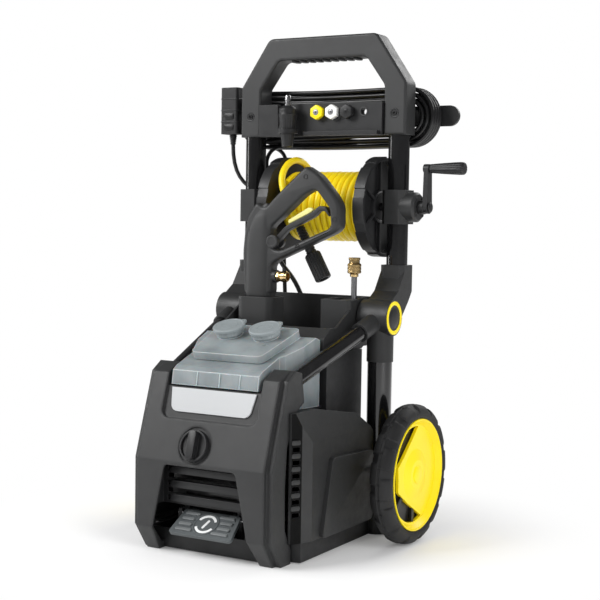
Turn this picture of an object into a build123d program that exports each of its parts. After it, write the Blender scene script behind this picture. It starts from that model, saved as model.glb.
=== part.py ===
"""Electric pressure washer on two wheels, with a hose reel in its tube frame.

+Z is up, the front faces -Y and +X is the right-hand side. While modelling, X = 0
is the middle of the machine. The finished pieces are moved so that the origin lies
on the floor, under the centre of the machine's box.
"""

import os
from math import atan2, cos, degrees, hypot, pi, radians, sin, sqrt, tan

from build123d import *

# ---- shared fits (mm) ----
RUN = 0.05        # radial clearance of a shaft in its bearing
SLIP = 0.1        # clearance of two pieces of one body
SEAT = 0.35       # gap between a loose piece and its seat
WALL = 4.0        # moulded wall

# ---- wheels and axle ----
WHEEL_R = 127.0
TYRE_W = 42.0
TYRE_H = 26.0              # height of the tyre's section
RIM_R = WHEEL_R - TYRE_H
AXLE_R = 7.0
AXLE_Y = 66.0
WHEEL_FACE_X = 264.0
TREAD_BLOCKS = 14

# ---- tube frame ----
TUBE_R = 20.0
TUBE_X = 159.0
TUBE_Y = 170.0
TUBE_WALL = 1.8
TUBE_FOOT_Z = 452.0
TUBE_TOP_Z = 800.0
LEG_R = 23.0
LEG_Y = 107.0
LEG_FOOT_Z = 40.0
LEG_TOP_Z = 374.0
HUB_Z = 404.0
HUB_R = 33.0
HUB_IN_X = 126.0
HUB_OUT_X = 184.0
STRUT_R = 14.0
STRUT_FRONT = Vector(123.0, -165.0, 302.0)

# ---- handle ----
HANDLE_FOOT_Z = 744.0
HANDLE_SHOULDER_Z = 841.0
HANDLE_TOP_Z = 935.0
HANDLE_OUT_X = 182.0
HANDLE_TOP_X = 118.0
HANDLE_BAR = 43.0
HANDLE_DEPTH = 45.0

# ---- hose reel ----
REEL_Z = 609.0
FLANGE_R = 95.0
FLANGE_W = 22.0            # depth of a flange's cupped rim
FLANGE_HUB_W = 11.0
FLANGE_LEFT_X = -75.0      # inner face of the left flange
FLANGE_RIGHT_X = 112.0     # inner face of the right flange
DRUM_R = 43.0
SHAFT_R = 8.0
WOUND_R = 68.0
HOSE_D = 13.0
COLLAR_H = 64.0
COLLAR_HALF_W = 23.5
COLLAR_HALF_D = 28.0
COLLAR_BOSS_X = 203.0
CRANK_X = 215.0
CRANK_W = 9.0
CRANK_LEN = 72.0
GRIP_LEN = 70.0
REEL_AXIS = (TUBE_Y, REEL_Z)

# ---- front cover ----
COVER_HALF_W = 141.0
FACE_HALF_W = 130.0
GROOVE = 9.0
FOOT_H = 14.0
FRONT_Y = -250.0
KNEE_Z = 165.0
HORN_TOP_Z = 312.0
HORN_TOP_Y = -203.0
HORN_IN_X = 98.0
MOUTH_TOP_Z = 159.0
MOUTH_TOP_X = 73.0
MOUTH_LOW_X = 98.0
MOUTH_LOW_Z = 44.0
PLATE_TOP_Z = 291.0
PLATE_LOW_Z = 249.0
POCKET_LOW_Z = 237.0
POCKET_DEPTH = 6.0

KNOB_X = -15.0
KNOB_Z = 195.0
KNOB_OUT = 15.0            # how far the knob's bar stands off the cover's face
KNOB_BAR = 52.0

# ---- housings ----
BASE_TOP_Z = 36.0
BASE_HALF_W = 156.0
NOSE_HALF_W = COVER_HALF_W - WALL - SEAT
BASE_FRONT_Y = -205.0
BASE_BACK_Y = 100.0
SIDE_X = 165.0
SIDE_TOP_Z = 258.0
SIDE_CREASE_Z = 207.0
SIDE_BACK_Y = 76.0
HOUSE_X = 126.0
HOUSE_FRONT_Y = -36.0
HOUSE_BACK_Y = 98.0
HOUSE_TOP_Z = 344.0
SHELF_Z = 252.0
SHELF_FRONT_Y = -172.0

# ---- tank ----
TANK_FRONT_X = 89.0
TANK_BACK_X = 117.0
TANK_FRONT_Y = -207.0
TANK_BACK_Y = -46.0
TANK_SLOPE = 19.5          # degrees, of its top
CAP_R = 29.5
CAP_X = 38.0
CAP_Y = -99.0
NECK_R = 23.0

# ---- tray ----
TRAY_X = 122.0
TRAY_FRONT_Y = -42.0
TRAY_BACK_Y = 138.0
TRAY_RIM_Z = 439.0
TRAY_LIP_Z = 389.0
HOLSTER_X = -68.0
WAND_X = 112.0
WAND_Y = 88.0
WAND_R = 5.3

# ---- nozzles, cord hooks, cord ----
PANEL_LOW_Z = 744.0
PANEL_TOP_Z = 806.0
PANEL_FRONT_Y = 142.0
PANEL_T = 14.0
NOZZLE_X = (0.0, 32.5, 65.0)
EMPTY_X = 97.5
NOZZLE_Z = 788.0
NOZZLE_R = 15.0
STEM_R = 6.0
TURBO_X = -57.0
COIL_Z = 781.0
COIL_HALF_L = 217.0
COIL_HALF_H = 57.5
COIL_BUILD = 35.0
COIL_Y = (196.5, 236.5)
CORD_D = 8.0
PLUG_X = -220.0
PLUG_Y = 178.0

GUN_Y = 52.0
GUN_T = 30.0

PEDAL_BACK = (-204.0, 75.0)
PEDAL_FRONT = (-249.0, 42.0)
PEDAL_PIN = (-201.0, 68.0)
PIN_R = 3.0

# ---- the origin, under the middle of the box ----
FACE_TILT = atan2(HORN_TOP_Y - FRONT_Y, HORN_TOP_Z - KNEE_Z)
GRIP_END_X = CRANK_X + CRANK_W + 1 + GRIP_LEN
HOOK_BACK_Y = COIL_Y[1] + 8.0
KNOB_FRONT_Y = (FRONT_Y + (KNOB_Z - KNEE_Z) * tan(FACE_TILT)
                - KNOB_OUT * cos(FACE_TILT) - KNOB_BAR / 2 * sin(FACE_TILT))
ORIGIN_X = (GRIP_END_X - WHEEL_FACE_X) / 2
ORIGIN_Y = (TUBE_Y + FLANGE_R + KNOB_FRONT_Y) / 2
TO_ORIGIN = Location((-ORIGIN_X, -ORIGIN_Y, 0))

LEFT, RIGHT = -1, 1
SIDES = {"left": LEFT, "right": RIGHT}
pieces = {}


def keep(name, made):
    """Take a finished builder as the piece called name."""
    pieces[name] = made.part


def across(x):
    """A plane facing +X at x; its sketches are drawn in Y and Z."""
    return Plane.YZ.offset(x)


def facing_front(y):
    """A plane facing -Y at y; its sketches are drawn in X and Z."""
    return Plane.XZ.offset(-y)


def outline(points, mode=Mode.ADD):
    """Fill a closed outline in the open sketch."""
    Polygon(*points, align=None, mode=mode)


def disc(middle, radius, hole=0.0):
    """Draw a disc, or a ring, in the open sketch."""
    with Locations(middle):
        Circle(radius)
        if hole:
            Circle(hole, mode=Mode.SUBTRACT)


def along(start, end):
    """A plane at start that faces end."""
    return Plane(origin=start, z_dir=(end - start).normalized())


def face_y(z):
    """Y of the cover's front face at the height z."""
    if z <= KNEE_Z:
        return FRONT_Y
    return FRONT_Y + (z - KNEE_Z) * (HORN_TOP_Y - FRONT_Y) / (HORN_TOP_Z - KNEE_Z)


def face_plane(z, behind=0.0):
    """A plane on the cover's sloping face at the height z, or behind it."""
    normal = Vector(0, -cos(FACE_TILT), sin(FACE_TILT))
    return Plane(origin=Vector(0, face_y(z), z) - normal * behind, x_dir=(1, 0, 0), z_dir=normal)


# =====================================================================
# wheels
# =====================================================================


def tyre(side):
    """A tyre with a rounded crown and notched shoulders."""
    out_x, in_x = side * WHEEL_FACE_X, side * (WHEEL_FACE_X - TYRE_W)
    mid_x = (out_x + in_x) / 2
    half = TYRE_W / 2
    with BuildPart() as made:
        with BuildSketch(Plane.XY):
            outline([
                (mid_x - half + 4, RIM_R + SLIP), (mid_x - half, RIM_R + 8),
                (mid_x - half, WHEEL_R - 11), (mid_x - half + 9, WHEEL_R - 1.5),
                (mid_x, WHEEL_R), (mid_x + half - 9, WHEEL_R - 1.5),
                (mid_x + half, WHEEL_R - 11), (mid_x + half, RIM_R + 8),
                (mid_x + half - 4, RIM_R + SLIP),
            ])
        revolve(axis=Axis.X)
        for edge_x in (out_x, in_x):
            with Locations(Location((edge_x, 0, 0), (0, 90, 0))):
                with PolarLocations(WHEEL_R - 1, TREAD_BLOCKS):
                    Box(11, 7, 16, mode=Mode.SUBTRACT)
    made.part = made.part.moved(Location((0, AXLE_Y, WHEEL_R)))
    return made


def rim(side):
    """A dished disc with a bright lip, a hub and a crescent opening."""
    out_x = side * (WHEEL_FACE_X - 2)
    with BuildPart() as made:
        with BuildSketch(Plane.XY):
            outline([
                (side * (WHEEL_FACE_X - TYRE_W + 4), RIM_R), (out_x, RIM_R), (out_x, RIM_R - 4),
                (out_x - side * 9, RIM_R - 11), (out_x - side * 7, 46), (out_x - side * 2, 26),
                (out_x - side * 2, 0.01), (out_x - side * 6, 0.01), (out_x - side * 6, AXLE_R + RUN),
                (side * (WHEEL_FACE_X - TYRE_W + 2), AXLE_R + RUN),
                (side * (WHEEL_FACE_X - TYRE_W + 2), 19), (out_x - side * 9, 19),
                (out_x - side * 13, 46), (out_x - side * 15, RIM_R - 14),
                (out_x - side * 24, RIM_R - 8), (side * (WHEEL_FACE_X - TYRE_W + 4), RIM_R - 8),
            ])
        revolve(axis=Axis.X)
        with BuildSketch(across(out_x - side * 20)):
            outline([(20, 90), (-49, 34), (-66, 21), (-64, -24), (-28, -48), (34, -82),
                     (-20, -120), (-120, -100), (-120, 100), (-20, 130)])
            Circle(RIM_R - 14, mode=Mode.INTERSECT)
        extrude(amount=side * 30, mode=Mode.SUBTRACT)
    made.part = made.part.moved(Location((0, AXLE_Y, WHEEL_R)))
    return made


for word, side in SIDES.items():
    keep(f"{word}_tyre", tyre(side))
    keep(f"{word}_rim", rim(side))

AXLE_HALF = WHEEL_FACE_X - 8 - SEAT
with BuildPart() as axle:
    with BuildSketch(across(-AXLE_HALF)):
        disc((AXLE_Y, WHEEL_R), AXLE_R)
    extrude(amount=2 * AXLE_HALF)
keep("axle", axle)

# =====================================================================
# tube frame
# =====================================================================


def upright(side, x, y, radius, low_z, high_z, cross_z=None):
    """A round upright tube, with a cross hole for the reel's shaft."""
    with BuildPart() as made:
        with BuildSketch(Plane.XY.offset(low_z)):
            with Locations((side * x, y)):
                Circle(radius)
                Circle(radius - TUBE_WALL, mode=Mode.SUBTRACT)
        extrude(amount=high_z - low_z)
        if cross_z:
            with BuildSketch(across(side * (x - radius - 1))):
                disc((y, cross_z), SHAFT_R + 1)
            extrude(amount=side * 2 * (radius + 1), mode=Mode.SUBTRACT)
    return made


def strut_ends(side):
    """Middle of the hub end and of the front end of a strut."""
    hub = Vector(side * TUBE_X, LEG_Y, HUB_Z)
    front = Vector(side * STRUT_FRONT.X, STRUT_FRONT.Y, STRUT_FRONT.Z)
    return hub, front


def hub_joint(side):
    """The moulded three-way joint: barrel, leg sleeve, strut sleeve and knee."""
    hub, front = strut_ends(side)
    half = 25.0
    knee_top = 500.0
    with BuildPart() as made:
        with BuildSketch(across(side * HUB_IN_X)):
            disc((LEG_Y, HUB_Z), HUB_R)
        extrude(amount=side * (HUB_OUT_X - HUB_IN_X))
        with BuildSketch(across(side * HUB_OUT_X)):
            disc((LEG_Y, HUB_Z), HUB_R, HUB_R - 2)
            disc((LEG_Y, HUB_Z), HUB_R - 9.5)
        extrude(amount=side * 3)
        with BuildSketch(Plane.XY.offset(322)):
            disc((side * TUBE_X, LEG_Y), LEG_R + 1.8)
        extrude(amount=HUB_Z - 322)
        with BuildSketch(across(side * (TUBE_X - half))):
            outline([(86, 418), (104, 437), (128, 452), (TUBE_Y - half, 476),
                     (TUBE_Y - half, knee_top), (TUBE_Y + half, knee_top),
                     (TUBE_Y + half, 462), (172, 432), (139, 398), (112, 380)])
        extrude(amount=side * 2 * half)
        with BuildSketch(along(hub, front)):
            Circle(STRUT_R + 4)
        extrude(amount=72)
        upper = made.edges().filter_by(Axis.Z).filter_by_position(Axis.Z, 470, 500)
        chamfer(upper, 9)
        with BuildSketch(Plane.XY.offset(TUBE_FOOT_Z - SLIP)):
            disc((side * TUBE_X, TUBE_Y), TUBE_R + SLIP)
        extrude(amount=60, mode=Mode.SUBTRACT)
        with BuildSketch(Plane.XY.offset(LEG_TOP_Z + SLIP)):
            disc((side * TUBE_X, LEG_Y), LEG_R + SLIP)
        extrude(amount=-70, mode=Mode.SUBTRACT)
        with BuildSketch(along(hub + (front - hub).normalized() * 46, front)):
            Circle(STRUT_R + SLIP)
        extrude(amount=60, mode=Mode.SUBTRACT)
    return made


def strut(side):
    """The sloping tube from a hub joint into the front cover's horn."""
    hub, front = strut_ends(side)
    start = hub + (front - hub).normalized() * (46 + SLIP)
    with BuildPart() as made:
        with BuildSketch(along(start, front)):
            Circle(STRUT_R)
            Circle(STRUT_R - TUBE_WALL, mode=Mode.SUBTRACT)
        extrude(amount=(front - start).length)
    return made


for word, side in SIDES.items():
    keep(f"{word}_upper_tube",
         upright(side, TUBE_X, TUBE_Y, TUBE_R, TUBE_FOOT_Z, TUBE_TOP_Z, REEL_Z))
    keep(f"{word}_lower_leg", upright(side, TUBE_X, LEG_Y, LEG_R, LEG_FOOT_Z, LEG_TOP_Z))
    keep(f"{word}_hub_joint", hub_joint(side))
    keep(f"{word}_strut", strut(side))

with BuildPart() as hub_rings:
    for side in SIDES.values():
        with BuildSketch(across(side * (HUB_OUT_X + SLIP))):
            with Locations((LEG_Y, HUB_Z)):
                Circle(HUB_R - 2 - SLIP)
                Circle(HUB_R - 9.3, mode=Mode.SUBTRACT)
        extrude(amount=side * 3.5)
keep("hub_rings", hub_rings)

# =====================================================================
# handle
# =====================================================================

HANDLE_FRONT_Y = TUBE_Y - HANDLE_DEPTH / 2
LEG_IN_X = HANDLE_OUT_X - 46.0
HOLE_TOP_Z = HANDLE_TOP_Z - HANDLE_BAR
SCREW_Z = 784.0

with BuildPart() as handle:
    with BuildSketch(facing_front(HANDLE_FRONT_Y)):
        outline([
            (-HANDLE_OUT_X, HANDLE_FOOT_Z), (-HANDLE_OUT_X, HANDLE_SHOULDER_Z),
            (-HANDLE_TOP_X, HANDLE_TOP_Z), (HANDLE_TOP_X, HANDLE_TOP_Z),
            (HANDLE_OUT_X, HANDLE_SHOULDER_Z), (HANDLE_OUT_X, HANDLE_FOOT_Z),
            (LEG_IN_X, HANDLE_FOOT_Z), (LEG_IN_X, HANDLE_SHOULDER_Z - 4),
            (HANDLE_TOP_X - 22, HOLE_TOP_Z), (22 - HANDLE_TOP_X, HOLE_TOP_Z),
            (-LEG_IN_X, HANDLE_SHOULDER_Z - 4), (-LEG_IN_X, HANDLE_FOOT_Z),
        ])
        corners = vertices().filter_by_position(Axis.Y, HANDLE_FOOT_Z + 1, HANDLE_TOP_Z)
        fillet(corners, 18)
    extrude(amount=-HANDLE_DEPTH)
    front_and_back = handle.edges().group_by(Axis.Y)
    fillet(front_and_back[0] + front_and_back[-1], 5)
    with BuildSketch(Plane.XY.offset(HANDLE_FOOT_Z)):
        with Locations((-TUBE_X, TUBE_Y), (TUBE_X, TUBE_Y)):
            Circle(TUBE_R + SLIP)
    extrude(amount=TUBE_TOP_Z + SLIP - HANDLE_FOOT_Z, mode=Mode.SUBTRACT)
keep("handle", handle)

with BuildPart() as handle_screws:
    with BuildSketch(facing_front(HANDLE_FRONT_Y - SLIP)):
        with Locations((-TUBE_X, SCREW_Z), (TUBE_X, SCREW_Z)):
            Circle(4.5)
            RegularPolygon(2.4, 6, mode=Mode.SUBTRACT)
    extrude(amount=2.2)
keep("handle_screws", handle_screws)

# =====================================================================
# nozzle panel with its cord hooks
# =====================================================================

HOOK_ARM_X = (104.0, 134.0)
HOOK_Z = (764.0, COIL_Z + COIL_HALF_H - COIL_BUILD - SEAT)
HOOK_TIP_X = 250.0
CLIP_Y = 121.0
CLIP_Z = 748.0


def turbo_radius(z):
    """Radius of the turbo nozzle's tapered body."""
    return 11.0 + (z - 721.0) * 7.0 / 64.0


with BuildPart() as nozzle_panel:
    with BuildSketch(facing_front(PANEL_FRONT_Y + PANEL_T)):
        with Locations((0, (PANEL_LOW_Z + PANEL_TOP_Z) / 2)):
            Rectangle(2 * (LEG_IN_X - SEAT), PANEL_TOP_Z - PANEL_LOW_Z)
        with Locations(*[(x, NOZZLE_Z) for x in (*NOZZLE_X, EMPTY_X)]):
            Circle(STEM_R + RUN, mode=Mode.SUBTRACT)
        outline_low = PANEL_LOW_Z + 14
        outline([(-93, PANEL_TOP_Z), (-76, PANEL_TOP_Z), (-91, outline_low)],
                mode=Mode.SUBTRACT)
    extrude(amount=PANEL_T)
    with BuildSketch(facing_front(PANEL_FRONT_Y)):
        with Locations((50, PANEL_LOW_Z + 4)):
            Rectangle(160, 8)
    extrude(amount=9)
    with BuildSketch(Plane.XY.offset(CLIP_Z)):
        with Locations((TURBO_X, (CLIP_Y + PANEL_FRONT_Y) / 2)):
            Rectangle(26, PANEL_FRONT_Y - CLIP_Y)
        with Locations((TURBO_X, CLIP_Y)):
            Circle(20)
            Circle(turbo_radius(CLIP_Z + 8) + SEAT, mode=Mode.SUBTRACT)
    extrude(amount=8)
    for side in SIDES.values():
        with BuildSketch(facing_front(HOOK_BACK_Y)):
            with Locations((side * sum(HOOK_ARM_X) / 2, sum(HOOK_Z) / 2)):
                Rectangle(HOOK_ARM_X[1] - HOOK_ARM_X[0], HOOK_Z[1] - HOOK_Z[0])
        extrude(amount=HOOK_BACK_Y - PANEL_FRONT_Y - PANEL_T)
        tip_r = (HOOK_Z[1] - HOOK_Z[0]) / 2
        with BuildSketch(facing_front(HOOK_BACK_Y)):
            with Locations((side * (HOOK_ARM_X[0] + HOOK_TIP_X - tip_r) / 2, sum(HOOK_Z) / 2)):
                Rectangle(HOOK_TIP_X - tip_r - HOOK_ARM_X[0], 2 * tip_r)
            disc((side * (HOOK_TIP_X - tip_r), sum(HOOK_Z) / 2), tip_r)
        extrude(amount=HOOK_BACK_Y - COIL_Y[1] - 1)
keep("nozzle_panel", nozzle_panel)


def nozzle(x):
    """A spray nozzle: a hexagonal head on a plug-in stem."""
    with BuildPart() as made:
        with BuildSketch(facing_front(PANEL_FRONT_Y - SEAT)):
            with Locations((x, NOZZLE_Z)):
                RegularPolygon(NOZZLE_R, 6, rotation=90)
        extrude(amount=13)
        chamfer(made.faces().sort_by(Axis.Y)[0].edges(), 2)
        with BuildSketch(facing_front(PANEL_FRONT_Y - SEAT)):
            disc((x, NOZZLE_Z), STEM_R)
        extrude(amount=-30)
        with BuildSketch(facing_front(PANEL_FRONT_Y - SEAT - 13)):
            disc((x, NOZZLE_Z), 4)
        extrude(amount=-8, mode=Mode.SUBTRACT)
    return made


for word, x in zip(("yellow", "white", "black"), NOZZLE_X):
    keep(f"{word}_nozzle", nozzle(x))

with BuildPart() as turbo_nozzle:
    with BuildSketch(Plane.XZ):
        outline([(0, 721), (turbo_radius(721), 721), (turbo_radius(785), 785), (17, 795),
                 (11, 801), (6, 801), (6, 822), (0, 822)])
    revolve(axis=Axis.Z)
turbo_nozzle.part = turbo_nozzle.part.moved(Location((TURBO_X, CLIP_Y, 0)))
keep("turbo_nozzle", turbo_nozzle)

# =====================================================================
# hose reel
# =====================================================================


def flange(inner_x, outward):
    """A reel flange: a cupped rim with notches, a ribbed web and a hub."""
    with BuildPart() as made:
        for outer, hole, depth in (
            (FLANGE_R, FLANGE_R - 7, FLANGE_W), (FLANGE_R - 6, SHAFT_R + SLIP, 4),
            (24, SHAFT_R + SLIP, FLANGE_HUB_W),
        ):
            with BuildSketch(across(inner_x)):
                disc(REEL_AXIS, outer, hole)
            extrude(amount=outward * depth)
        with BuildSketch(across(inner_x + outward * 3)):
            with Locations(REEL_AXIS):
                with PolarLocations((FLANGE_R + 17) / 2, 6, start_angle=30):
                    Rectangle(FLANGE_R - 25, 5)
        extrude(amount=outward * 8)
        with Locations(Location((inner_x, TUBE_Y, REEL_Z), (0, 90, 0))):
            with PolarLocations(FLANGE_R, 9, start_angle=15):
                Box(5, 18, 80, mode=Mode.SUBTRACT)
    return made


keep("left_reel_flange", flange(FLANGE_LEFT_X, LEFT))
keep("right_reel_flange", flange(FLANGE_RIGHT_X, RIGHT))

with BuildPart() as reel_drum:
    for x, outer, hole, length in (
        (FLANGE_LEFT_X + SLIP, DRUM_R, DRUM_R - 3, FLANGE_RIGHT_X - FLANGE_LEFT_X - 2 * SLIP),
        (FLANGE_LEFT_X + SLIP, DRUM_R - 2, 0, 4),
        (FLANGE_RIGHT_X - SLIP, DRUM_R - 2, 0, -4),
        (-TUBE_X - 15, SHAFT_R, 0, TUBE_X + 15 + CRANK_X + CRANK_W - 1),
    ):
        with BuildSketch(across(x)):
            disc(REEL_AXIS, outer, hole)
        extrude(amount=length)
keep("reel_drum", reel_drum)

with BuildPart() as hose_winding:
    with BuildSketch(across(FLANGE_LEFT_X + SEAT)):
        disc(REEL_AXIS, WOUND_R, DRUM_R + SEAT)
    extrude(amount=FLANGE_RIGHT_X - FLANGE_LEFT_X - 2 * SEAT)
keep("hose_winding", hose_winding)


def collar(side):
    """A faceted block clamped round an upper tube; the crank's side carries a round boss."""
    out_x = COLLAR_BOSS_X + 1 if side > 0 else TUBE_X + 15 + SEAT
    with BuildPart() as made:
        with BuildSketch(Plane.XY.offset(REEL_Z - COLLAR_H / 2)):
            with Locations((side * TUBE_X, TUBE_Y)):
                Rectangle(2 * COLLAR_HALF_W, 2 * COLLAR_HALF_D)
            chamfer(vertices(), 9)
        extrude(amount=COLLAR_H)
        if side > 0:
            with BuildSketch(across(TUBE_X + 10)):
                disc(REEL_AXIS, COLLAR_HALF_D)
            extrude(amount=COLLAR_BOSS_X - TUBE_X - 10)
            chamfer(made.faces().sort_by(Axis.X)[-1].edges(), 4)
        with BuildSketch(Plane.XY.offset(REEL_Z - COLLAR_H / 2)):
            disc((side * TUBE_X, TUBE_Y), TUBE_R + SLIP)
        extrude(amount=COLLAR_H, mode=Mode.SUBTRACT)
        with BuildSketch(across(side * out_x)):
            disc(REEL_AXIS, SHAFT_R + RUN)
        extrude(amount=-side * 90, mode=Mode.SUBTRACT)
    return made


for word, side in SIDES.items():
    keep(f"{word}_reel_collar", collar(side))

GRIP_Z = REEL_Z + CRANK_LEN
with BuildPart() as crank_arm:
    with BuildSketch(across(CRANK_X)):
        disc((TUBE_Y, REEL_Z), 12)
        disc((TUBE_Y, GRIP_Z), 8.5)
        outline([(TUBE_Y - 12, REEL_Z), (TUBE_Y - 8.5, GRIP_Z),
                 (TUBE_Y + 8.5, GRIP_Z), (TUBE_Y + 12, REEL_Z)])
    extrude(amount=CRANK_W)
    with BuildSketch(across(COLLAR_BOSS_X + 2)):
        disc(REEL_AXIS, 13)
    extrude(amount=CRANK_X - COLLAR_BOSS_X - 2)
    with BuildSketch(across(COLLAR_BOSS_X + 2)):
        disc(REEL_AXIS, SHAFT_R + SLIP)
    extrude(amount=CRANK_X + CRANK_W - 1 + SLIP - COLLAR_BOSS_X - 2, mode=Mode.SUBTRACT)
    with BuildSketch(across(CRANK_X + CRANK_W)):
        disc((TUBE_Y, GRIP_Z), 4)
    extrude(amount=GRIP_LEN - 5)
keep("crank_arm", crank_arm)

with BuildPart() as crank_grip:
    grip_x = CRANK_X + CRANK_W + 1
    with BuildSketch(Plane.XY):
        outline([(grip_x, 4 + RUN), (grip_x, 8), (grip_x + 4, 9), (grip_x + GRIP_LEN - 8, 12),
                 (grip_x + GRIP_LEN - 2, 12), (grip_x + GRIP_LEN, 10), (grip_x + GRIP_LEN, 0),
                 (grip_x + GRIP_LEN - 4, 0), (grip_x + GRIP_LEN - 4, 4 + RUN)])
    revolve(axis=Axis.X)
crank_grip.part = crank_grip.part.moved(Location((0, TUBE_Y, GRIP_Z)))
keep("crank_grip", crank_grip)

# =====================================================================
# base and inner housing
# =====================================================================

MOTOR_Y = -112.0
MOTOR_Z = 104.0
MOTOR_R = 56.0
MOTOR_X = (-112.0, 52.0)
SOCKET_TOP_Z = 108.0

with BuildPart() as base_chassis:
    with BuildSketch(Plane.XY.offset(2)):
        outline([
            (-NOSE_HALF_W, BASE_FRONT_Y), (NOSE_HALF_W, BASE_FRONT_Y), (NOSE_HALF_W, -174),
            (BASE_HALF_W, -170), (BASE_HALF_W, BASE_BACK_Y), (-BASE_HALF_W, BASE_BACK_Y),
            (-BASE_HALF_W, -170), (-NOSE_HALF_W, -174),
        ])
    extrude(amount=BASE_TOP_Z - 2)
    with BuildSketch(Plane.XY.offset(6)):
        with Locations((0, (BASE_FRONT_Y + BASE_BACK_Y) / 2)):
            Rectangle(260, BASE_BACK_Y - BASE_FRONT_Y - 12)
    extrude(amount=BASE_TOP_Z, mode=Mode.SUBTRACT)
    for side in SIDES.values():
        with BuildSketch(Plane.XY.offset(0)):
            with Locations((side * (COVER_HALF_W + 104) / 2, -196)):
                Rectangle(COVER_HALF_W - 104 + 2, 42)
        extrude(amount=FOOT_H + SEAT, mode=Mode.SUBTRACT)
        with BuildSketch(Plane.XY.offset(2)):
            disc((side * TUBE_X, LEG_Y), LEG_R + 5)
        extrude(amount=SOCKET_TOP_Z - 2)
        with BuildSketch(across(side * (HOUSE_X + 2))):
            outline([(AXLE_Y - 30, BASE_TOP_Z - 1), (AXLE_Y - 13, WHEEL_R + 13),
                     (AXLE_Y + 13, WHEEL_R + 13), (AXLE_Y + 13, BASE_TOP_Z - 1)])
            with Locations((AXLE_Y, WHEEL_R)):
                Circle(AXLE_R + SLIP, mode=Mode.SUBTRACT)
        extrude(amount=side * 12)
        with BuildSketch(Plane.XY.offset(LEG_FOOT_Z - SLIP)):
            disc((side * TUBE_X, LEG_Y), LEG_R + SLIP)
        extrude(amount=SOCKET_TOP_Z, mode=Mode.SUBTRACT)
        with BuildSketch(across(side * 66)):
            outline([(PEDAL_PIN[0] - 4, 6), (PEDAL_PIN[0] - 4, PEDAL_PIN[1] + 7),
                     (PEDAL_PIN[0] + 7, PEDAL_PIN[1] + 7), (PEDAL_PIN[0] + 14, 6)])
            with Locations(PEDAL_PIN):
                Circle(PIN_R + SLIP, mode=Mode.SUBTRACT)
        extrude(amount=side * 7)
    for x in (-86.0, 26.0):
        with BuildSketch(across(x - 5)):
            with Locations((MOTOR_Y, 40)):
                Rectangle(96, 70)
            with Locations((MOTOR_Y, MOTOR_Z)):
                Circle(MOTOR_R + SLIP, mode=Mode.SUBTRACT)
        extrude(amount=10)
keep("base_chassis", base_chassis)

with BuildPart() as inner_housing:
    with BuildSketch(across(-HOUSE_X)):
        outline([(HOUSE_FRONT_Y, BASE_TOP_Z + SLIP), (HOUSE_FRONT_Y, HOUSE_TOP_Z),
                 (HOUSE_BACK_Y, HOUSE_TOP_Z), (HOUSE_BACK_Y, BASE_TOP_Z + SLIP)])
    extrude(amount=2 * HOUSE_X)
    with BuildSketch(across(WALL - HOUSE_X)):
        outline([(HOUSE_FRONT_Y + WALL, 0), (HOUSE_FRONT_Y + WALL, HOUSE_TOP_Z - WALL),
                 (HOUSE_BACK_Y - WALL, HOUSE_TOP_Z - WALL), (HOUSE_BACK_Y - WALL, 0)])
    extrude(amount=2 * (HOUSE_X - WALL), mode=Mode.SUBTRACT)
    with BuildSketch(Plane.XY.offset(SHELF_Z - WALL)):
        with Locations((0, (HOUSE_FRONT_Y + SHELF_FRONT_Y) / 2)):
            Rectangle(232, HOUSE_FRONT_Y - SHELF_FRONT_Y + 1)
    extrude(amount=WALL)
    with BuildSketch(across(-HOUSE_X - 1)):
        disc((AXLE_Y, WHEEL_R), AXLE_R + 1)
    extrude(amount=2 * HOUSE_X + 2, mode=Mode.SUBTRACT)
    with BuildSketch(Plane.XY.offset(HOUSE_TOP_Z - WALL - 1)):
        disc((WAND_X, WAND_Y), WAND_R + 1)
    extrude(amount=WALL + 2, mode=Mode.SUBTRACT)
keep("inner_housing", inner_housing)

with BuildPart() as motor:
    with BuildSketch(across(MOTOR_X[0])):
        disc((MOTOR_Y, MOTOR_Z), MOTOR_R)
    extrude(amount=MOTOR_X[1] - MOTOR_X[0])
    with Locations(Location((-30, MOTOR_Y, MOTOR_Z), (0, 90, 0))):
        with PolarLocations(MOTOR_R, 18):
            Box(6, 5, 110, mode=Mode.SUBTRACT)
keep("motor", motor)

with BuildPart() as pump:
    with BuildSketch(across(MOTOR_X[1] + SLIP)):
        with Locations((MOTOR_Y, MOTOR_Z)):
            RectangleRounded(84, 84, 14)
    extrude(amount=56)
    with BuildSketch(facing_front(MOTOR_Y + 42)):
        disc((82, MOTOR_Z + 10), 11)
    extrude(amount=-18)
keep("pump", pump)

# =====================================================================
# side covers
# =====================================================================

LOUVRE_Z = [85.0 + 22.4 * k for k in range(6)]


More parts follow.
